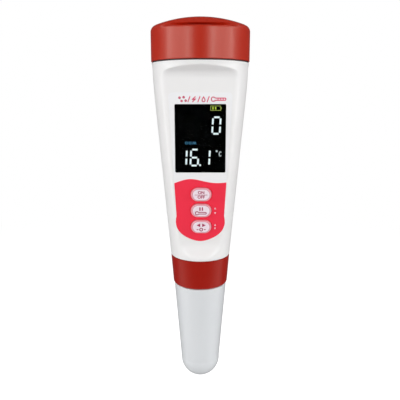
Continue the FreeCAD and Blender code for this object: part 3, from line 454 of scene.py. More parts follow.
window_hole = rounded_outline(WINDOW_HALF + WINDOW_PLAY, WINDOW_BOTTOM - WINDOW_PLAY,
                              WINDOW_TOP + WINDOW_PLAY, WINDOW_CORNER)
cutters = [slab("cut_window", window_hole, CUT_FRONT, CUT_BACK)]
for key_name, z in KEY_HEIGHTS.items():
    half_height = KEY_HOLE_HEIGHT / 2
    key_hole = rounded_outline(KEY_HOLE_HALF, z - half_height, z + half_height,
                               half_height - 0.01, KEY_CENTRE_X)
    cutters.append(slab("cut_" + key_name, key_hole, CUT_FRONT, CUT_BACK))
for cutter in cutters:
    hole = casing.modifiers.new(cutter.name, "BOOLEAN")
    hole.operation = "DIFFERENCE"
    hole.solver = "EXACT"
    hole.object = cutter
plain_mesh(casing)
for cutter in cutters:
    bpy.data.objects.remove(cutter)
smooth(casing, 30)

white = Finish("casing_satin_white")
grain = white.noise(5200.0, 2.0)
sheen = white.noise(46.0, 3.0)
give(casing, white.done(white.surface(
    Base_Color=white.blend(sheen * 0.5, colour(243, 242, 241), colour(238, 237, 238)),
    Roughness=0.30 + 0.10 * sheen,
    Coat_Weight=0.15,
    Coat_Roughness=0.12,
    Normal=white.bump(grain, 0.004 * MM, 0.35),
)))
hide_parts("casing")
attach(casing, "casing")


# The threads: raised ridges that wind round the neck and the spigot, moulded with the casing.
# One tree winds two ridges, half a turn apart, and its inputs set their radius, lead and thickness.
# The sizes of a thread are its radius, start, height, turns and ridge.
NECK_THREAD = (17.42, 2.0, 6.0, 1.0, 0.15)
SPIGOT_THREAD = (10.62, -87.2, 5.4, 0.953, 0.13)

thread_tree = bpy.data.node_groups.new("wound_ridge", "GeometryNodeTree")
thread_inputs = {}
for label in ("Radius", "Start", "Height", "Turns", "Ridge", "Finish"):
    kind = "NodeSocketMaterial" if label == "Finish" else "NodeSocketFloat"
    made = thread_tree.interface.new_socket(label, in_out="INPUT", socket_type=kind)
    thread_inputs[label] = made.identifier
thread_tree.interface.new_socket("Geometry", in_out="OUTPUT", socket_type="NodeSocketGeometry")
t_in = thread_tree.nodes.new("NodeGroupInput")
t_out = thread_tree.nodes.new("NodeGroupOutput")
spiral = thread_tree.nodes.new("GeometryNodeCurveSpiral")
spiral.inputs["Resolution"].default_value = 72
ridge = thread_tree.nodes.new("GeometryNodeCurvePrimitiveCircle")
ridge.inputs["Resolution"].default_value = 8
sweep = thread_tree.nodes.new("GeometryNodeCurveToMesh")
sweep.inputs["Fill Caps"].default_value = True
lift = thread_tree.nodes.new("GeometryNodeTransform")
lift_by = thread_tree.nodes.new("ShaderNodeCombineXYZ")
opposite = thread_tree.nodes.new("GeometryNodeTransform")
opposite.inputs["Rotation"].default_value = (0, 0, math.pi)
both = thread_tree.nodes.new("GeometryNodeJoinGeometry")
t_real = thread_tree.nodes.new("GeometryNodeRealizeInstances")
t_finish = thread_tree.nodes.new("GeometryNodeSetMaterial")
link = thread_tree.links.new
link(t_in.outputs["Radius"], spiral.inputs["Start Radius"])
link(t_in.outputs["Radius"], spiral.inputs["End Radius"])
link(t_in.outputs["Height"], spiral.inputs["Height"])
link(t_in.outputs["Turns"], spiral.inputs["Rotations"])
link(t_in.outputs["Ridge"], ridge.inputs["Radius"])
link(spiral.outputs[0], sweep.inputs["Curve"])
link(ridge.outputs[0], sweep.inputs["Profile Curve"])
link(t_in.outputs["Start"], lift_by.inputs["Z"])
link(sweep.outputs[0], lift.inputs["Geometry"])
link(lift_by.outputs[0], lift.inputs["Translation"])
link(lift.outputs[0], opposite.inputs["Geometry"])
link(lift.outputs[0], both.inputs[0])
link(opposite.outputs[0], both.inputs[0])
link(both.outputs[0], t_real.inputs[0])
link(t_real.outputs[0], t_finish.inputs["Geometry"])
link(t_in.outputs["Finish"], t_finish.inputs["Material"])
link(t_finish.outputs[0], t_out.inputs[0])


def wound_ridge(name, sizes, finish, body):
    radius, start, height, turns, thickness = sizes
    piece = bpy.data.objects.new(name, bpy.data.meshes.new(name))
    scene.collection.objects.link(piece)
    modifier = piece.modifiers.new("ridge", "NODES")
    modifier.node_group = thread_tree
    values = {"Radius": radius * MM, "Start": start * MM, "Height": height * MM, "Turns": turns,
              "Ridge": thickness * MM, "Finish": finish}
    for label, value in values.items():
        modifier[thread_inputs[label]] = value
    plain_mesh(piece)
    smooth(piece, 60)
    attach(piece, body)


wound_ridge("neck_thread", NECK_THREAD, casing.data.materials[0], "casing")
wound_ridge("spigot_thread", SPIGOT_THREAD, casing.data.materials[0], "casing")


# The board and what stands on it: green lacquered glass fibre with bright screws, moulded chips,
# a pin socket and bent terminal strips. All of it lies inside the casing.
lacquer = Finish("board_lacquer")
tracks = lacquer.node("ShaderNodeTexVoronoi", {"feature": "DISTANCE_TO_EDGE"},
                      {"Vector": lacquer.place(), "Scale": 420.0})
track_mask = lacquer.node("ShaderNodeMath", {"operation": "LESS_THAN"}, {0: tracks, 1: 0.10})
give(nodes["main_board"], lacquer.done(lacquer.surface(
    Base_Color=lacquer.blend(track_mask, colour(22, 88, 48), colour(44, 124, 70)),
    Roughness=0.35,
    Normal=lacquer.bump(track_mask, 0.02 * MM, 0.6),
)))

moulded = Finish("moulded_black")
moulded_grain = moulded.noise(3600.0, 3.0)
moulded_black = moulded.done(moulded.surface(
    Base_Color=moulded.blend(moulded_grain, colour(26, 26, 28), colour(40, 41, 43)),
    Roughness=0.55 + 0.1 * moulded_grain,
    Normal=moulded.bump(moulded_grain, 0.01 * MM, 0.5),
))
for name in ("processor", "signal_amplifier", "board_socket", "key_guide", "display_frame"):
    give(nodes[name], moulded_black)

plate = Finish("bright_plate")
brushing = plate.node("ShaderNodeTexNoise", {}, {
    "Vector": plate.node("ShaderNodeMapping", {}, {
        "Vector": plate.place(), "Scale": (200.0, 3000.0, 3000.0)}),
    "Scale": 1.0, "Detail": 3.0})
bright_plate = plate.done(plate.surface(
    Base_Color=plate.blend(brushing, colour(196, 194, 188), colour(222, 220, 214)),
    Metallic=1.0,
    Roughness=0.24 + 0.14 * brushing,
    Normal=plate.bump(brushing, 0.002 * MM, 0.5),
))
for name in ("board_screws", "power_terminals", "key_domes", "battery_plate", "battery_spring"):
    give(nodes[name], bright_plate)


# The display: black glass in an open frame, lit from behind, with its lit segments. Each segment
# is a thin bar, and one tree sets a bar on every point that a digit lights.
GLASS_FRONT = 2.50
SEGMENT_DEPTH = 0.04
DIGIT_WIDTH = 3.0
DIGIT_HEIGHT = 6.5
DIGIT_SLANT = 0.055
STROKE = 0.72
LIT = {"0": "abcdef", "1": "bc", "6": "acdefg"}
SEGMENTS = {"a": (0, 1, 0), "g": (0, 0, 0), "d": (0, -1, 0), "b": (1, 0.5, 1), "c": (1, -0.5, 1),
            "f": (-1, 0.5, 1), "e": (-1, -0.5, 1)}
DIGITS = (("0", 6.40, -25.05), ("1", -7.1, -37.9), ("6", -2.35, -37.9), ("1", 2.2, -37.9))
POINT_PLACE = (-0.1, -41.0)

black = Finish("display_black")
depth_tint = black.noise(60.0, 2.0)
give(nodes["display_glass"], black.done(black.surface(
    Base_Color=black.blend(depth_tint, colour(6, 8, 10), colour(11, 13, 16)),
    Roughness=0.15,
    Specular_IOR_Level=0.2,
)))
opal = Finish("opal_diffuser")
opal_cloud = opal.noise(300.0, 2.0)
give(nodes["display_light"], opal.done(opal.surface(
    Base_Color=opal.blend(opal_cloud, colour(238, 240, 244), colour(228, 231, 236)), Roughness=0.5)))
rubber_strip = Finish("layered_strip")
layers = rubber_strip.node("ShaderNodeTexWave", {"bands_direction": "X"},
                           {"Vector": rubber_strip.place(), "Scale": 900.0})
give(nodes["contact_strips"], rubber_strip.done(rubber_strip.surface(
    Base_Color=rubber_strip.blend(layers, colour(70, 70, 72), colour(170, 170, 172)), Roughness=0.7)))

segment_tree = bpy.data.node_groups.new("lit_segments", "GeometryNodeTree")
segment_inputs = {}
for label, kind in (("Geometry", "NodeSocketGeometry"), ("Stroke", "NodeSocketFloat"),
                    ("Depth", "NodeSocketFloat"), ("Finish", "NodeSocketMaterial")):
    made = segment_tree.interface.new_socket(label, in_out="INPUT", socket_type=kind)
    segment_inputs[label] = made.identifier
segment_tree.interface.new_socket("Geometry", in_out="OUTPUT", socket_type="NodeSocketGeometry")
s_in = segment_tree.nodes.new("NodeGroupInput")
s_out = segment_tree.nodes.new("NodeGroupOutput")
bar = segment_tree.nodes.new("GeometryNodeMeshCube")
bar_size = segment_tree.nodes.new("ShaderNodeCombineXYZ")
bar_size.inputs["X"].default_value = 1.0
bars = segment_tree.nodes.new("GeometryNodeInstanceOnPoints")
turn_of = segment_tree.nodes.new("GeometryNodeInputNamedAttribute")
turn_of.data_type = "FLOAT_VECTOR"
turn_of.inputs["Name"].default_value = "turn"
length_of = segment_tree.nodes.new("GeometryNodeInputNamedAttribute")
length_of.data_type = "FLOAT"
length_of.inputs["Name"].default_value = "length"
bar_scale = segment_tree.nodes.new("ShaderNodeCombineXYZ")
bar_scale.inputs["Y"].default_value = 1.0
bar_scale.inputs["Z"].default_value = 1.0
s_real = segment_tree.nodes.new("GeometryNodeRealizeInstances")
s_finish = segment_tree.nodes.new("GeometryNodeSetMaterial")
link = segment_tree.links.new
link(s_in.outputs["Depth"], bar_size.inputs["Y"])
link(s_in.outputs["Stroke"], bar_size.inputs["Z"])
link(bar_size.outputs[0], bar.inputs["Size"])
link(s_in.outputs["Geometry"], bars.inputs["Points"])
link(bar.outputs["Mesh"], bars.inputs["Instance"])
link(turn_of.outputs["Attribute"], bars.inputs["Rotation"])
link(length_of.outputs["Attribute"], bar_scale.inputs["X"])
link(bar_scale.outputs[0], bars.inputs["Scale"])
link(bars.outputs[0], s_real.inputs[0])
link(s_real.outputs[0], s_finish.inputs["Geometry"])
link(s_in.outputs["Finish"], s_finish.inputs["Material"])
link(s_finish.outputs[0], s_out.inputs[0])


def lit_finish(name, seen, strength):
    """A lit mark: its own light, a little uneven as a backlight is."""
    glow = Finish(name)
    uneven = glow.noise(500.0, 1.0)
    return glow.done(glow.surface(
        Base_Color=(0.01, 0.01, 0.01, 1.0),
        Emission_Color=glow.blend(uneven, seen, tuple(0.9 * part for part in seen[:3]) + (1.0,)),
        Emission_Strength=strength,
        Roughness=0.4,
    ))


def bars_piece(name, marks, stroke, finish, depth=GLASS_FRONT, body="casing"):
    """Bars on the panel from (x, z, turn, length) marks, in millimetres and radians."""
    mesh = bpy.data.meshes.new(name)
    mesh.from_pydata([(x * MM, 0, z * MM) for x, z, turn, length in marks], [], [])
    turns = mesh.attributes.new("turn", "FLOAT_VECTOR", "POINT")
    turns.data.foreach_set("vector", [part for mark in marks for part in (0.0, mark[2], 0.0)])
    lengths = mesh.attributes.new("length", "FLOAT", "POINT")
    lengths.data.foreach_set("value", [mark[3] * MM for mark in marks])
    piece = bpy.data.objects.new(name, mesh)
    scene.collection.objects.link(piece)
    modifier = piece.modifiers.new("segments", "NODES")
    modifier.node_group = segment_tree
    for label, value in (("Stroke", stroke * MM), ("Depth", SEGMENT_DEPTH * MM), ("Finish", finish)):
        modifier[segment_inputs[label]] = value
    plain_mesh(piece)
    lowered = Matrix.Translation((0, (depth - SEGMENT_DEPTH) * MM, 0))
    piece.data.transform(on_panel @ lowered)
    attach(piece, body)


digit_marks = []
for digit, centre_x, centre_z in DIGITS:
    for segment in LIT[digit]:
        across, up, upright = SEGMENTS[segment]
        z = up * DIGIT_HEIGHT / 2
        x = across * DIGIT_WIDTH / 2 + DIGIT_SLANT * z
        reach = DIGIT_HEIGHT / 2 if upright else DIGIT_WIDTH
        turn = -(math.pi / 2 - math.atan(DIGIT_SLANT)) if upright else 0.0
        digit_marks.append((centre_x + x, centre_z + z, turn, reach - STROKE - 0.16))
digit_marks.append((*POINT_PLACE, 0.0, STROKE))
digit_light = lit_finish("digit_light", colour(232, 250, 252), 1.0)
bars_piece("display_digits", digit_marks, STROKE, digit_light)


def line_marks(points, stroke, closed=False):
    """Bars that follow a drawn line, for a picture made of strokes."""
    marks = []
    ends = points[1:] + points[:1] if closed else points[1:]
    for (x, z), (next_x, next_z) in zip(points, ends):
        length = math.hypot(next_x - x, next_z - z) + 0.6 * stroke
        marks.append(((x + next_x) / 2, (z + next_z) / 2, -math.atan2(next_z - z, next_x - x), length))
    return marks


def ring_line(x, z, radius, count=8):
    return [(x + radius * math.cos(2 * math.pi * i / count), z + radius * math.sin(2 * math.pi * i / count))
            for i in range(count)]


UNIT_STROKE = 0.14
UNIT_Z = -32.0
UNIT_RING = 0.48
unit_marks = []
for x in (-5.6, -4.1):
    unit_marks += line_marks(ring_line(x, UNIT_Z, UNIT_RING), UNIT_STROKE, True)
zigzag = [(-3.1 + 0.35 * i, UNIT_Z + (0.5 if i % 2 else -0.5)) for i in range(5)]
unit_marks += line_marks(zigzag, UNIT_STROKE)
bars_piece("display_unit", unit_marks, UNIT_STROKE, lit_finish("unit_light", colour(84, 168, 214), 0.8))

DEGREE_STROKE = 0.2
degree_marks = line_marks(ring_line(6.6, -35.3, 0.26, 6), DEGREE_STROKE, True)
arc_turns = [math.radians(50 + 260 * i / 7) for i in range(8)]
letter_arc = [(8.1 + 0.52 * math.cos(turn), -36.45 + 0.88 * math.sin(turn)) for turn in arc_turns]
degree_marks += line_marks(letter_arc, DEGREE_STROKE)
bars_piece("display_degrees", degree_marks, DEGREE_STROKE, digit_light)

ICON_STROKE = 0.18
icon_case = [(4.1, -17.4), (8.0, -17.4), (8.0, -19.1), (4.1, -19.1)]
icon_marks = line_marks(icon_case, ICON_STROKE, True)
icon_marks += line_marks([(8.3, -17.9), (8.3, -18.6)], ICON_STROKE)
icon_light = lit_finish("icon_light", colour(180, 200, 96), 0.8)
bars_piece("display_cell_icon", icon_marks, ICON_STROKE, icon_light)
CHARGE_STROKE = 0.45
charge_marks = [(x, -18.25, math.pi / 2, 1.0) for x in (5.0, 6.05)]
charge_light = lit_finish("charge_light", colour(190, 224, 60), 1.0)
bars_piece("display_cell_charge", charge_marks, CHARGE_STROKE, charge_light)


# The window: a clear moulded pane that fills the opening in the flat. It is glossy in front, and
# what lies behind it is black.
pane = Finish("clear_window")
pane_wipe = pane.noise(90.0, 2.0)
give(nodes["display_window"], pane.done(pane.surface(
    Base_Color=WHITE,
    Roughness=0.015 + 0.03 * pane_wipe,
    Transmission_Weight=1.0,
    IOR=1.47,
)))


# The overlay: a thin film on the flat, pale above and pinkish red round the keys, with small
# printed marks. The heading is a row of plain pictures with slashes between: dots, a bolt, a drop
# and a thermometer.
film = Finish("pale_film")
film_grain = film.noise(2600.0, 2.0)
give(nodes["overlay_label"], film.done(film.surface(
    Base_Color=film.blend(film_grain, colour(245, 245, 246), colour(242, 242, 244)),
    Roughness=0.34 + 0.08 * film_grain,
    Coat_Weight=0.1,
    Normal=film.bump(film_grain, 0.004 * MM, 0.3),
)))
ink = Finish("red_film")
ink_grain = ink.noise(2200.0, 2.0)
ink_fade = ink.noise(40.0, 2.0)
give(nodes["key_field"], ink.done(ink.surface(
    Base_Color=ink.blend(ink_fade, colour(252, 44, 74), colour(242, 36, 62)),
    Roughness=0.36 + 0.08 * ink_grain,
    Normal=ink.bump(ink_grain, 0.004 * MM, 0.3),
)))

LABEL_FRONT = -0.20
RED_FRONT = -0.35
PRINT_THICK = 0.03


def printing_ink(name, dense, thin, grain_scale=1800.0):
    """A matt ink, a little uneven over its area."""
    spread_ink = Finish(name)
    spread = spread_ink.noise(grain_scale, 2.0)
    return spread_ink.done(spread_ink.surface(
        Base_Color=spread_ink.blend(spread, dense, thin), Roughness=0.5))


pink_print = printing_ink("pink_ink", colour(226, 34, 98), colour(214, 26, 86))
white_print = printing_ink("white_ink", colour(255, 222, 230), colour(250, 200, 212))


def printed(name, outline, front, finish, body="casing"):
    """A printed mark on the panel, in front of a depth."""
    piece = slab(name, outline, front - PRINT_THICK, front)
    give(piece, finish)
    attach(piece, body)
    return piece


HEADING_Z = -14.73
HEADING_STROKE = 0.34


def drop_line(x, z, size):
    """A drop: a point above and a round body under it."""
    turns = [math.radians(35 - 250 * i / 9) for i in range(10)]
    body_z = z - 0.36 * size
    body_radius = 0.62 * size
    body = [(x + body_radius * math.cos(t), body_z + body_radius * math.sin(t)) for t in turns]
    return [(x, z + size)] + body


def thermometer_line(x, z, length, stem, bulb):
    """A lying thermometer: a round bulb at its left end and a straight stem."""
    gap = math.asin(stem / bulb)
    turns = [gap + (2 * math.pi - 2 * gap) * i / 9 for i in range(10)]
    tube = [(x + length, z - stem), (x + length + 0.7 * stem, z), (x + length, z + stem)]
    return [(x + bulb * math.cos(t), z + bulb * math.sin(t)) for t in turns] + tube


heading_marks = []
for x, z in ((-8.1, 0.55), (-6.5, 0.75), (-7.3, -0.7), (-5.7, -0.55)):
    heading_marks += line_marks(ring_line(x, HEADING_Z + z, 0.32, 6), HEADING_STROKE, True)
for x in (-4.45, -0.55, 3.05):
    heading_marks += line_marks([(x - 0.4, HEADING_Z - 1.0), (x + 0.4, HEADING_Z + 1.0)], HEADING_STROKE)
bolt = [(-1.95, 0.98), (-3.15, -0.12), (-1.85, 0.12), (-3.05, -0.98)]
heading_marks += line_marks([(x, HEADING_Z + z) for x, z in bolt], HEADING_STROKE)
heading_marks += line_marks(drop_line(1.25, HEADING_Z - 0.02, 0.95), HEADING_STROKE, True)
heading_marks += line_marks(thermometer_line(5.1, HEADING_Z, 4.6, 0.42, 0.85), HEADING_STROKE, True)
heading_marks += [(x, HEADING_Z, math.pi / 2, 0.5) for x in (6.9, 7.9, 8.9)]
bars_piece("heading_pictures", heading_marks, HEADING_STROKE, pink_print, LABEL_FRONT)

ARROW_X = 6.1
for number, z in enumerate((-58.6, -60.7, -65.7, -67.3)):
    name = "arrow_%d" % (number + 1)
    up = -1 if number % 2 else 1
    tip = 0.38 * up
    outline = [(ARROW_X - 0.4, z - tip), (ARROW_X + 0.4, z - tip), (ARROW_X, z + tip)]
    printed(name, outline if up > 0 else list(reversed(outline)), RED_FRONT, white_print)


# The keys: translucent white silicone with an eased rim, each with a small printed legend. Their
# pink is painted reflection of the red field round them; the top plateau is the pale silicone, and
# the thin darker ring round it is painted shade. They are pressed through the flat one by one.
silicone = Finish("key_silicone_painted_pink")
silicone_grain = silicone.noise(1500.0, 2.0)
key_body_painted_pink = silicone.done(silicone.surface(
    # painted reflection: pink from the red field round the keys, on white silicone
    Base_Color=silicone.blend(silicone_grain, colour(250, 172, 182), colour(245, 162, 174)),
    Roughness=0.38,
    Subsurface_Weight=0.25,
    Subsurface_Radius=(0.004, 0.0015, 0.0012),
    Subsurface_Scale=0.3,
    Normal=silicone.bump(silicone_grain, 0.004 * MM, 0.4),
))
KEY_FRONT = -1.30
KEY_RISE = 0.12
KEY_TOP = KEY_FRONT - KEY_RISE
KEY_TOP_HALF = 3.42
KEY_TOP_REACH = 2.18
SHADE_RING_WIDTH = 0.2
LEGEND_SIZE = 1.7
LEGEND_STROKE = 0.32
top = Finish("key_top")
top_grain = top.noise(1500.0, 2.0)
key_top = top.done(top.surface(
    Base_Color=top.blend(top_grain, colour(247, 232, 240), colour(243, 224, 233)), Roughness=0.38,
    Normal=top.bump(top_grain, 0.004 * MM, 0.4)))
# Painted shade: a thin darker ring round each key's top, for the shade where the top steps down to the rim.
key_groove = printing_ink("key_groove", colour(208, 150, 168), colour(198, 138, 156), 1500.0)


def key_outline(z, grown):
    """The round-ended outline of a key's top at a height, grown all round."""
    reach = KEY_TOP_REACH + grown
    return rounded_outline(KEY_TOP_HALF + grown, z - reach, z + reach, reach - 0.01, KEY_CENTRE_X)


for key_name, z in KEY_HEIGHTS.items():
    give(nodes[key_name], key_body_painted_pink)
    # a thin darker ring under the plateau's edge, printed as painted shade
    printed(key_name + "_groove", key_outline(z, SHADE_RING_WIDTH), KEY_FRONT, key_groove, key_name)
    plateau = slab(key_name + "_top", key_outline(z, 0.0), KEY_TOP, KEY_FRONT - PRINT_THICK)
    give(plateau, key_top)
    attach(plateau, key_name)
legend_print = printing_ink("legend_ink", colour(176, 30, 88), colour(160, 24, 76))


def legend(name, words, x, z, size, body):
    """Short words on a key, as a thin solid print."""
    text = bpy.data.curves.new(name, "FONT")
    text.body = words
    text.size = size * MM
    text.align_x = "CENTER"
    text.align_y = "CENTER"
    text.extrude = PRINT_THICK / 2 * MM
    text.offset = 0.05 * MM
    text.resolution_u = 3
    piece = bpy.data.objects.new(name, text)
    scene.collection.objects.link(piece)
    bpy.context.view_layer.update()
    mesh = bpy.data.meshes.new_from_object(piece.evaluated_get(bpy.context.evaluated_depsgraph_get()))
    bpy.data.objects.remove(piece)
    upright = Matrix.Rotation(math.pi / 2, 4, "X")
    set_in = Matrix.Translation((x * MM, (KEY_TOP - PRINT_THICK / 2) * MM, z * MM))
    mesh.transform(on_panel @ set_in @ upright)
    made = bpy.data.objects.new(name, mesh)
    scene.collection.objects.link(made)
    give(made, legend_print)
    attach(made, body)


WORD_OFFSET = 0.95
DIVIDER_STROKE = 0.2
PAUSE_STROKE = 0.5


def legend_bars(name, marks, stroke, body):
    """A picture of bars, printed on a key's top."""
    bars_piece(name, marks, stroke, legend_print, KEY_TOP, body)


power_z, hold_z, mode_z = KEY_HEIGHTS.values()
legend("legend_on", "ON", KEY_CENTRE_X, power_z + WORD_OFFSET, LEGEND_SIZE, "key_power")
legend("legend_off", "OFF", KEY_CENTRE_X, power_z - WORD_OFFSET, LEGEND_SIZE, "key_power")
legend_bars("legend_divider", [(KEY_CENTRE_X, power_z, 0, 5.2)], DIVIDER_STROKE, "key_power")
pause_marks = [(KEY_CENTRE_X + x, hold_z + 0.85, math.pi / 2, 1.4) for x in (-0.5, 0.5)]
legend_bars("legend_pause", pause_marks, PAUSE_STROKE, "key_hold")
small_thermometer = thermometer_line(KEY_CENTRE_X - 1.7, hold_z - 0.95, 3.6, 0.34, 0.7)
legend_bars("legend_hold", line_marks(small_thermometer, LEGEND_STROKE, True), LEGEND_STROKE, "key_hold")
for number, side in enumerate((-1, 1)):
    x = KEY_CENTRE_X + side * 1.15
    outline = [(x - side * 0.75, mode_z + 0.05), (x + side * 0.75, mode_z + 0.8),
               (x - side * 0.75, mode_z + 1.55)]
    printed("legend_next_%d" % (number + 1), outline if side > 0 else list(reversed(outline)), KEY_TOP,
            legend_print, "key_mode")
mode_marks = line_marks(ring_line(KEY_CENTRE_X, mode_z - 1.05, 0.62, 10), LEGEND_STROKE, True)
mode_marks += [(KEY_CENTRE_X + x, mode_z - 1.05, 0, 0.7) for x in (-1.5, 1.5)]
legend_bars("legend_mode", mode_marks, LEGEND_STROKE, "key_mode")


# The battery tray and its four cells: a grey moulding with bright steel cells across it.
CELL_COUNT = 4
tray = Finish("tray_grey")
tray_grain = tray.noise(2400.0, 3.0)
give(nodes["battery_tray"], tray.done(tray.surface(
    Base_Color=tray.blend(tray_grain, colour(58, 59, 62), colour(72, 73, 76)),
    Roughness=0.5,
    Normal=tray.bump(tray_grain, 0.01 * MM, 0.4),
)))
steel = Finish("cell_steel")
spin = steel.noise(900.0, 4.0)
cell_steel = steel.done(steel.surface(
    Base_Color=steel.blend(spin, colour(188, 188, 190), colour(212, 212, 214)),
    Metallic=1.0,
    Roughness=0.2 + 0.12 * spin,
))
for number in range(CELL_COUNT):
    give(nodes["button_cell_%d" % (number + 1)], cell_steel)


# The head gasket and the seals: black rubber.
rubber = Finish("black_rubber")
rubber_grain = rubber.noise(3000.0, 3.0)
black_rubber = rubber.done(rubber.surface(
    Base_Color=rubber.blend(rubber_grain, colour(24, 24, 26), colour(38, 38, 40)),
    Roughness=0.6,
    Normal=rubber.bump(rubber_grain, 0.008 * MM, 0.5),
))
for name in ("cap_gasket", "module_seal", "cap_seal"):
    give(nodes[name], black_rubber)


# The battery cap: red plastic, moulded with a polished outside. Its top is a low dome, and at the
# front a ledge is cut in it for a thumb nail, under a lip. It is drawn as rings, with the ledge
# as a cut that grows from the rim inwards, and it takes the place of the plain cap.
CAP_RADIUS = 20.0
CAP_DOME = 51.3
CAP_DOME_START = 13.0
CAP_CORNER = 2.2
CAP_BORE = 17.6
CAP_CEILING = 9.6
GRIP_LEDGE = 11.74
GRIP_LIP = 14.0
GRIP_UNDER = 2.4
GRIP_FOOT = 0.6
GRIP_HEIGHT = 1.75
dome_middle = CAP_DOME_START - math.sqrt(CAP_DOME ** 2 - CAP_RADIUS ** 2)
corner_middle = dome_middle + math.sqrt((CAP_DOME - CAP_CORNER) ** 2 - (CAP_RADIUS - CAP_CORNER) ** 2)
corner_turn = math.atan2(corner_middle - dome_middle, CAP_RADIUS - CAP_CORNER)
corner_end = corner_middle + CAP_CORNER * math.sin(corner_turn)


def cap_size(z):
    if z <= corner_middle:
        return CAP_RADIUS
    if z <= corner_end:
        return CAP_RADIUS - CAP_CORNER + math.sqrt(CAP_CORNER ** 2 - (z - corner_middle) ** 2)
    return math.sqrt(max(CAP_DOME ** 2 - (z - dome_middle) ** 2, 0.0))


def cap_ring(z, share, under):
    """A ring of the cap: how far its front is cut back, from the rim to the wall, and how far the
    wall there is set in under the lip."""
    def radius(front):
        whole = cap_size(z)
        start = GRIP_LIP / CAP_RADIUS
        if front <= start:
            return whole
        wall = (GRIP_LIP - under * ((front - start) / (1 - start)) ** 2) / front
        return whole - share * (whole - soft_least(whole, wall, 0.5))
    return z, radius


def merge_poles(piece):
    """Closes the ends of a turned piece, where a ring has no size."""
    body = bmesh.new()
    body.from_mesh(piece.data)
    bmesh.ops.remove_doubles(body, verts=body.verts, dist=0.0001 * MM)
    bmesh.ops.recalc_face_normals(body, faces=body.faces)
    body.to_mesh(piece.data)
    body.free()


rings = [plain_ring(0.0, 12.6), plain_ring(5.0, 12.4), plain_ring(8.5, 11.6), plain_ring(9.5, 10.4)]
rings += [plain_ring(10.0, CAP_CEILING), plain_ring(CAP_BORE - 0.4, CAP_CEILING)]
rings += [plain_ring(CAP_BORE, CAP_CEILING - 0.4)]
rings += [plain_ring(CAP_BORE, 0.2), plain_ring(CAP_BORE + 0.2, 0.0), plain_ring(CAP_RADIUS - 0.2, 0.0)]
rings += [plain_ring(CAP_RADIUS, z) for z in [0.2] + steps(1.0, 11.0, 5) + [GRIP_LEDGE - 0.25]]
for drop, share in ((0.12, 0.008), (0.04, 0.02), (0.0, 0.045), (0.0, 0.5), (0.0, 1.0)):
    rings.append(cap_ring(GRIP_LEDGE - drop, share, GRIP_UNDER - GRIP_FOOT))
for turn in steps(0, math.pi / 2, 6)[1:]:
    foot_z = GRIP_LEDGE + GRIP_FOOT * (1 - math.cos(turn))
    rings.append(cap_ring(foot_z, 1.0, GRIP_UNDER - GRIP_FOOT * (1 - math.sin(turn))))
for share in steps(0, 1, 12)[1:]:
    z = GRIP_LEDGE + GRIP_FOOT + (GRIP_HEIGHT - GRIP_FOOT) * share
    rings.append(cap_ring(z, 1.0, GRIP_UNDER * (1 - share * share * (3 - 2 * share))))
for size in steps(cap_size(GRIP_LEDGE + GRIP_HEIGHT), 0.0, 40)[1:]:
    rings.append(cap_ring(dome_middle + math.sqrt(CAP_DOME ** 2 - size ** 2), 1.0, 0.0))
cap = rings_mesh("battery_cap_shell", rings, CASE_RING, False)
merge_poles(cap)
smooth(cap, 40)

red = Finish("polished_red")
red_grain = red.noise(4200.0, 2.0)
red_flow = red.noise(34.0, 2.0)
give(cap, red.done(red.surface(
    Base_Color=red.blend(red_flow, colour(184, 36, 11), colour(177, 33, 10)),
    Roughness=0.31 + 0.06 * red_flow,
    Specular_Tint=(1.0, 0.93, 0.8, 1.0),
    Coat_Weight=0.1,
    Coat_Roughness=0.16,
    Normal=red.bump(red_grain, 0.003 * MM, 0.25),
)))
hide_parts("battery_cap")
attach(cap, "battery_cap")


# The collar ring: the same red plastic with a plainer polish. Its red is painted darker than the
# cap's, as painted shade for the light it misses while facing slightly down.
collar_shade = Finish("collar_red_painted_shade")
collar_shade_grain = collar_shade.noise(4200.0, 2.0)
collar_shade_flow = collar_shade.noise(34.0, 2.0)
give(nodes["collar_ring"], collar_shade.done(collar_shade.surface(
    # painted shade: the cap's red made darker, for the light the collar misses
    Base_Color=collar_shade.blend(collar_shade_flow, colour(168, 19, 4), colour(160, 16, 3)),
    Roughness=0.27 + 0.06 * collar_shade_flow,
    Specular_Tint=(1.0, 0.9, 0.75, 1.0),
    Coat_Weight=0.1,
    Coat_Roughness=0.16,
    Normal=collar_shade.bump(collar_shade_grain, 0.003 * MM, 0.25),
)))


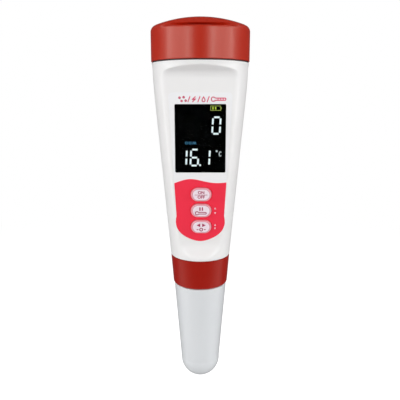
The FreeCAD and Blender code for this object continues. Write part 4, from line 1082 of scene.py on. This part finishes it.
# The probe module: a pale stepped body, a black slotted guard, and the sensors inside it.
pale = Finish("probe_body_pale")
pale_grain = pale.noise(2800.0, 2.0)
give(nodes["probe_body"], pale.done(pale.surface(
    Base_Color=pale.blend(pale_grain, colour(208, 210, 212), colour(200, 202, 205)),
    Roughness=0.4,
    Normal=pale.bump(pale_grain, 0.006 * MM, 0.4),
)))
give(nodes["probe_guard"], moulded_black)
bulb = Finish("sensing_glass")
bulb_wave = bulb.noise(120.0, 2.0)
give(nodes["ph_bulb"], bulb.done(bulb.surface(
    Base_Color=bulb.blend(bulb_wave, colour(222, 234, 240), colour(208, 224, 232)),
    Roughness=0.03 + 0.03 * bulb_wave,
    Transmission_Weight=0.9,
    IOR=1.45,
)))
give(nodes["conductivity_pins"], cell_steel)
give(nodes["temperature_sensor"], cell_steel)
porous = Finish("porous_plug")
pores = porous.noise(5000.0, 4.0)
give(nodes["reference_junction"], porous.done(porous.surface(
    Base_Color=porous.blend(pores, colour(214, 208, 194), colour(236, 232, 222)),
    Roughness=0.85,
    Normal=porous.bump(pores, 0.03 * MM, 0.8),
)))
gilt = Finish("gilt_pins")
gilt_shade = gilt.noise(800.0, 2.0)
give(nodes["probe_connector"], gilt.done(gilt.surface(
    Base_Color=gilt.blend(gilt_shade, colour(214, 172, 84), colour(232, 196, 112)),
    Metallic=1.0,
    Roughness=0.25,
)))


# The protective cap: satin white polypropylene with a round end, over a wet foam pad.
satin = Finish("protective_white")
satin_grain = satin.noise(3800.0, 2.0)
satin_flow = satin.noise(50.0, 2.0)
give(nodes["protective_cap"], satin.done(satin.surface(
    Base_Color=satin.blend(satin_flow, colour(229, 231, 233), colour(224, 227, 230)),
    Roughness=0.26 + 0.08 * satin_flow,
    Coat_Weight=0.4,
    Coat_Roughness=0.1,
    Normal=satin.bump(satin_grain, 0.004 * MM, 0.3),
)))

FOAM_MIDDLE = -131.15
FOAM_RADIUS = 6.6
foam_rings = [(FOAM_RADIUS * math.sin(turn), FOAM_MIDDLE - FOAM_RADIUS * math.cos(turn))
              for turn in steps(0, math.pi / 2, 14)]
foam_rings += [(6.62, -130.4), (6.56, -130.0), (6.36, -129.74), (5.9, -129.58), (5.0, -129.54),
               (3.2, -129.6), (2.5, -129.78), (2.1, -130.1), (1.7, -130.55), (1.0, -130.86), (0.0, -130.95)]
foam_pad = rings_mesh("storage_pad", [plain_ring(size, z) for size, z in foam_rings], 96, False)
merge_poles(foam_pad)
smooth(foam_pad, 60)
foam = Finish("wet_foam")
cells = foam.node("ShaderNodeTexVoronoi", {}, {"Vector": foam.place(), "Scale": 1400.0})
give(foam_pad, foam.done(foam.surface(
    Base_Color=foam.blend(cells, colour(214, 208, 192), colour(240, 236, 226)),
    Roughness=0.8,
    Normal=foam.bump(cells, 0.15 * MM, 0.9),
)))
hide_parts("storage_sponge")
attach(foam_pad, "protective_cap")
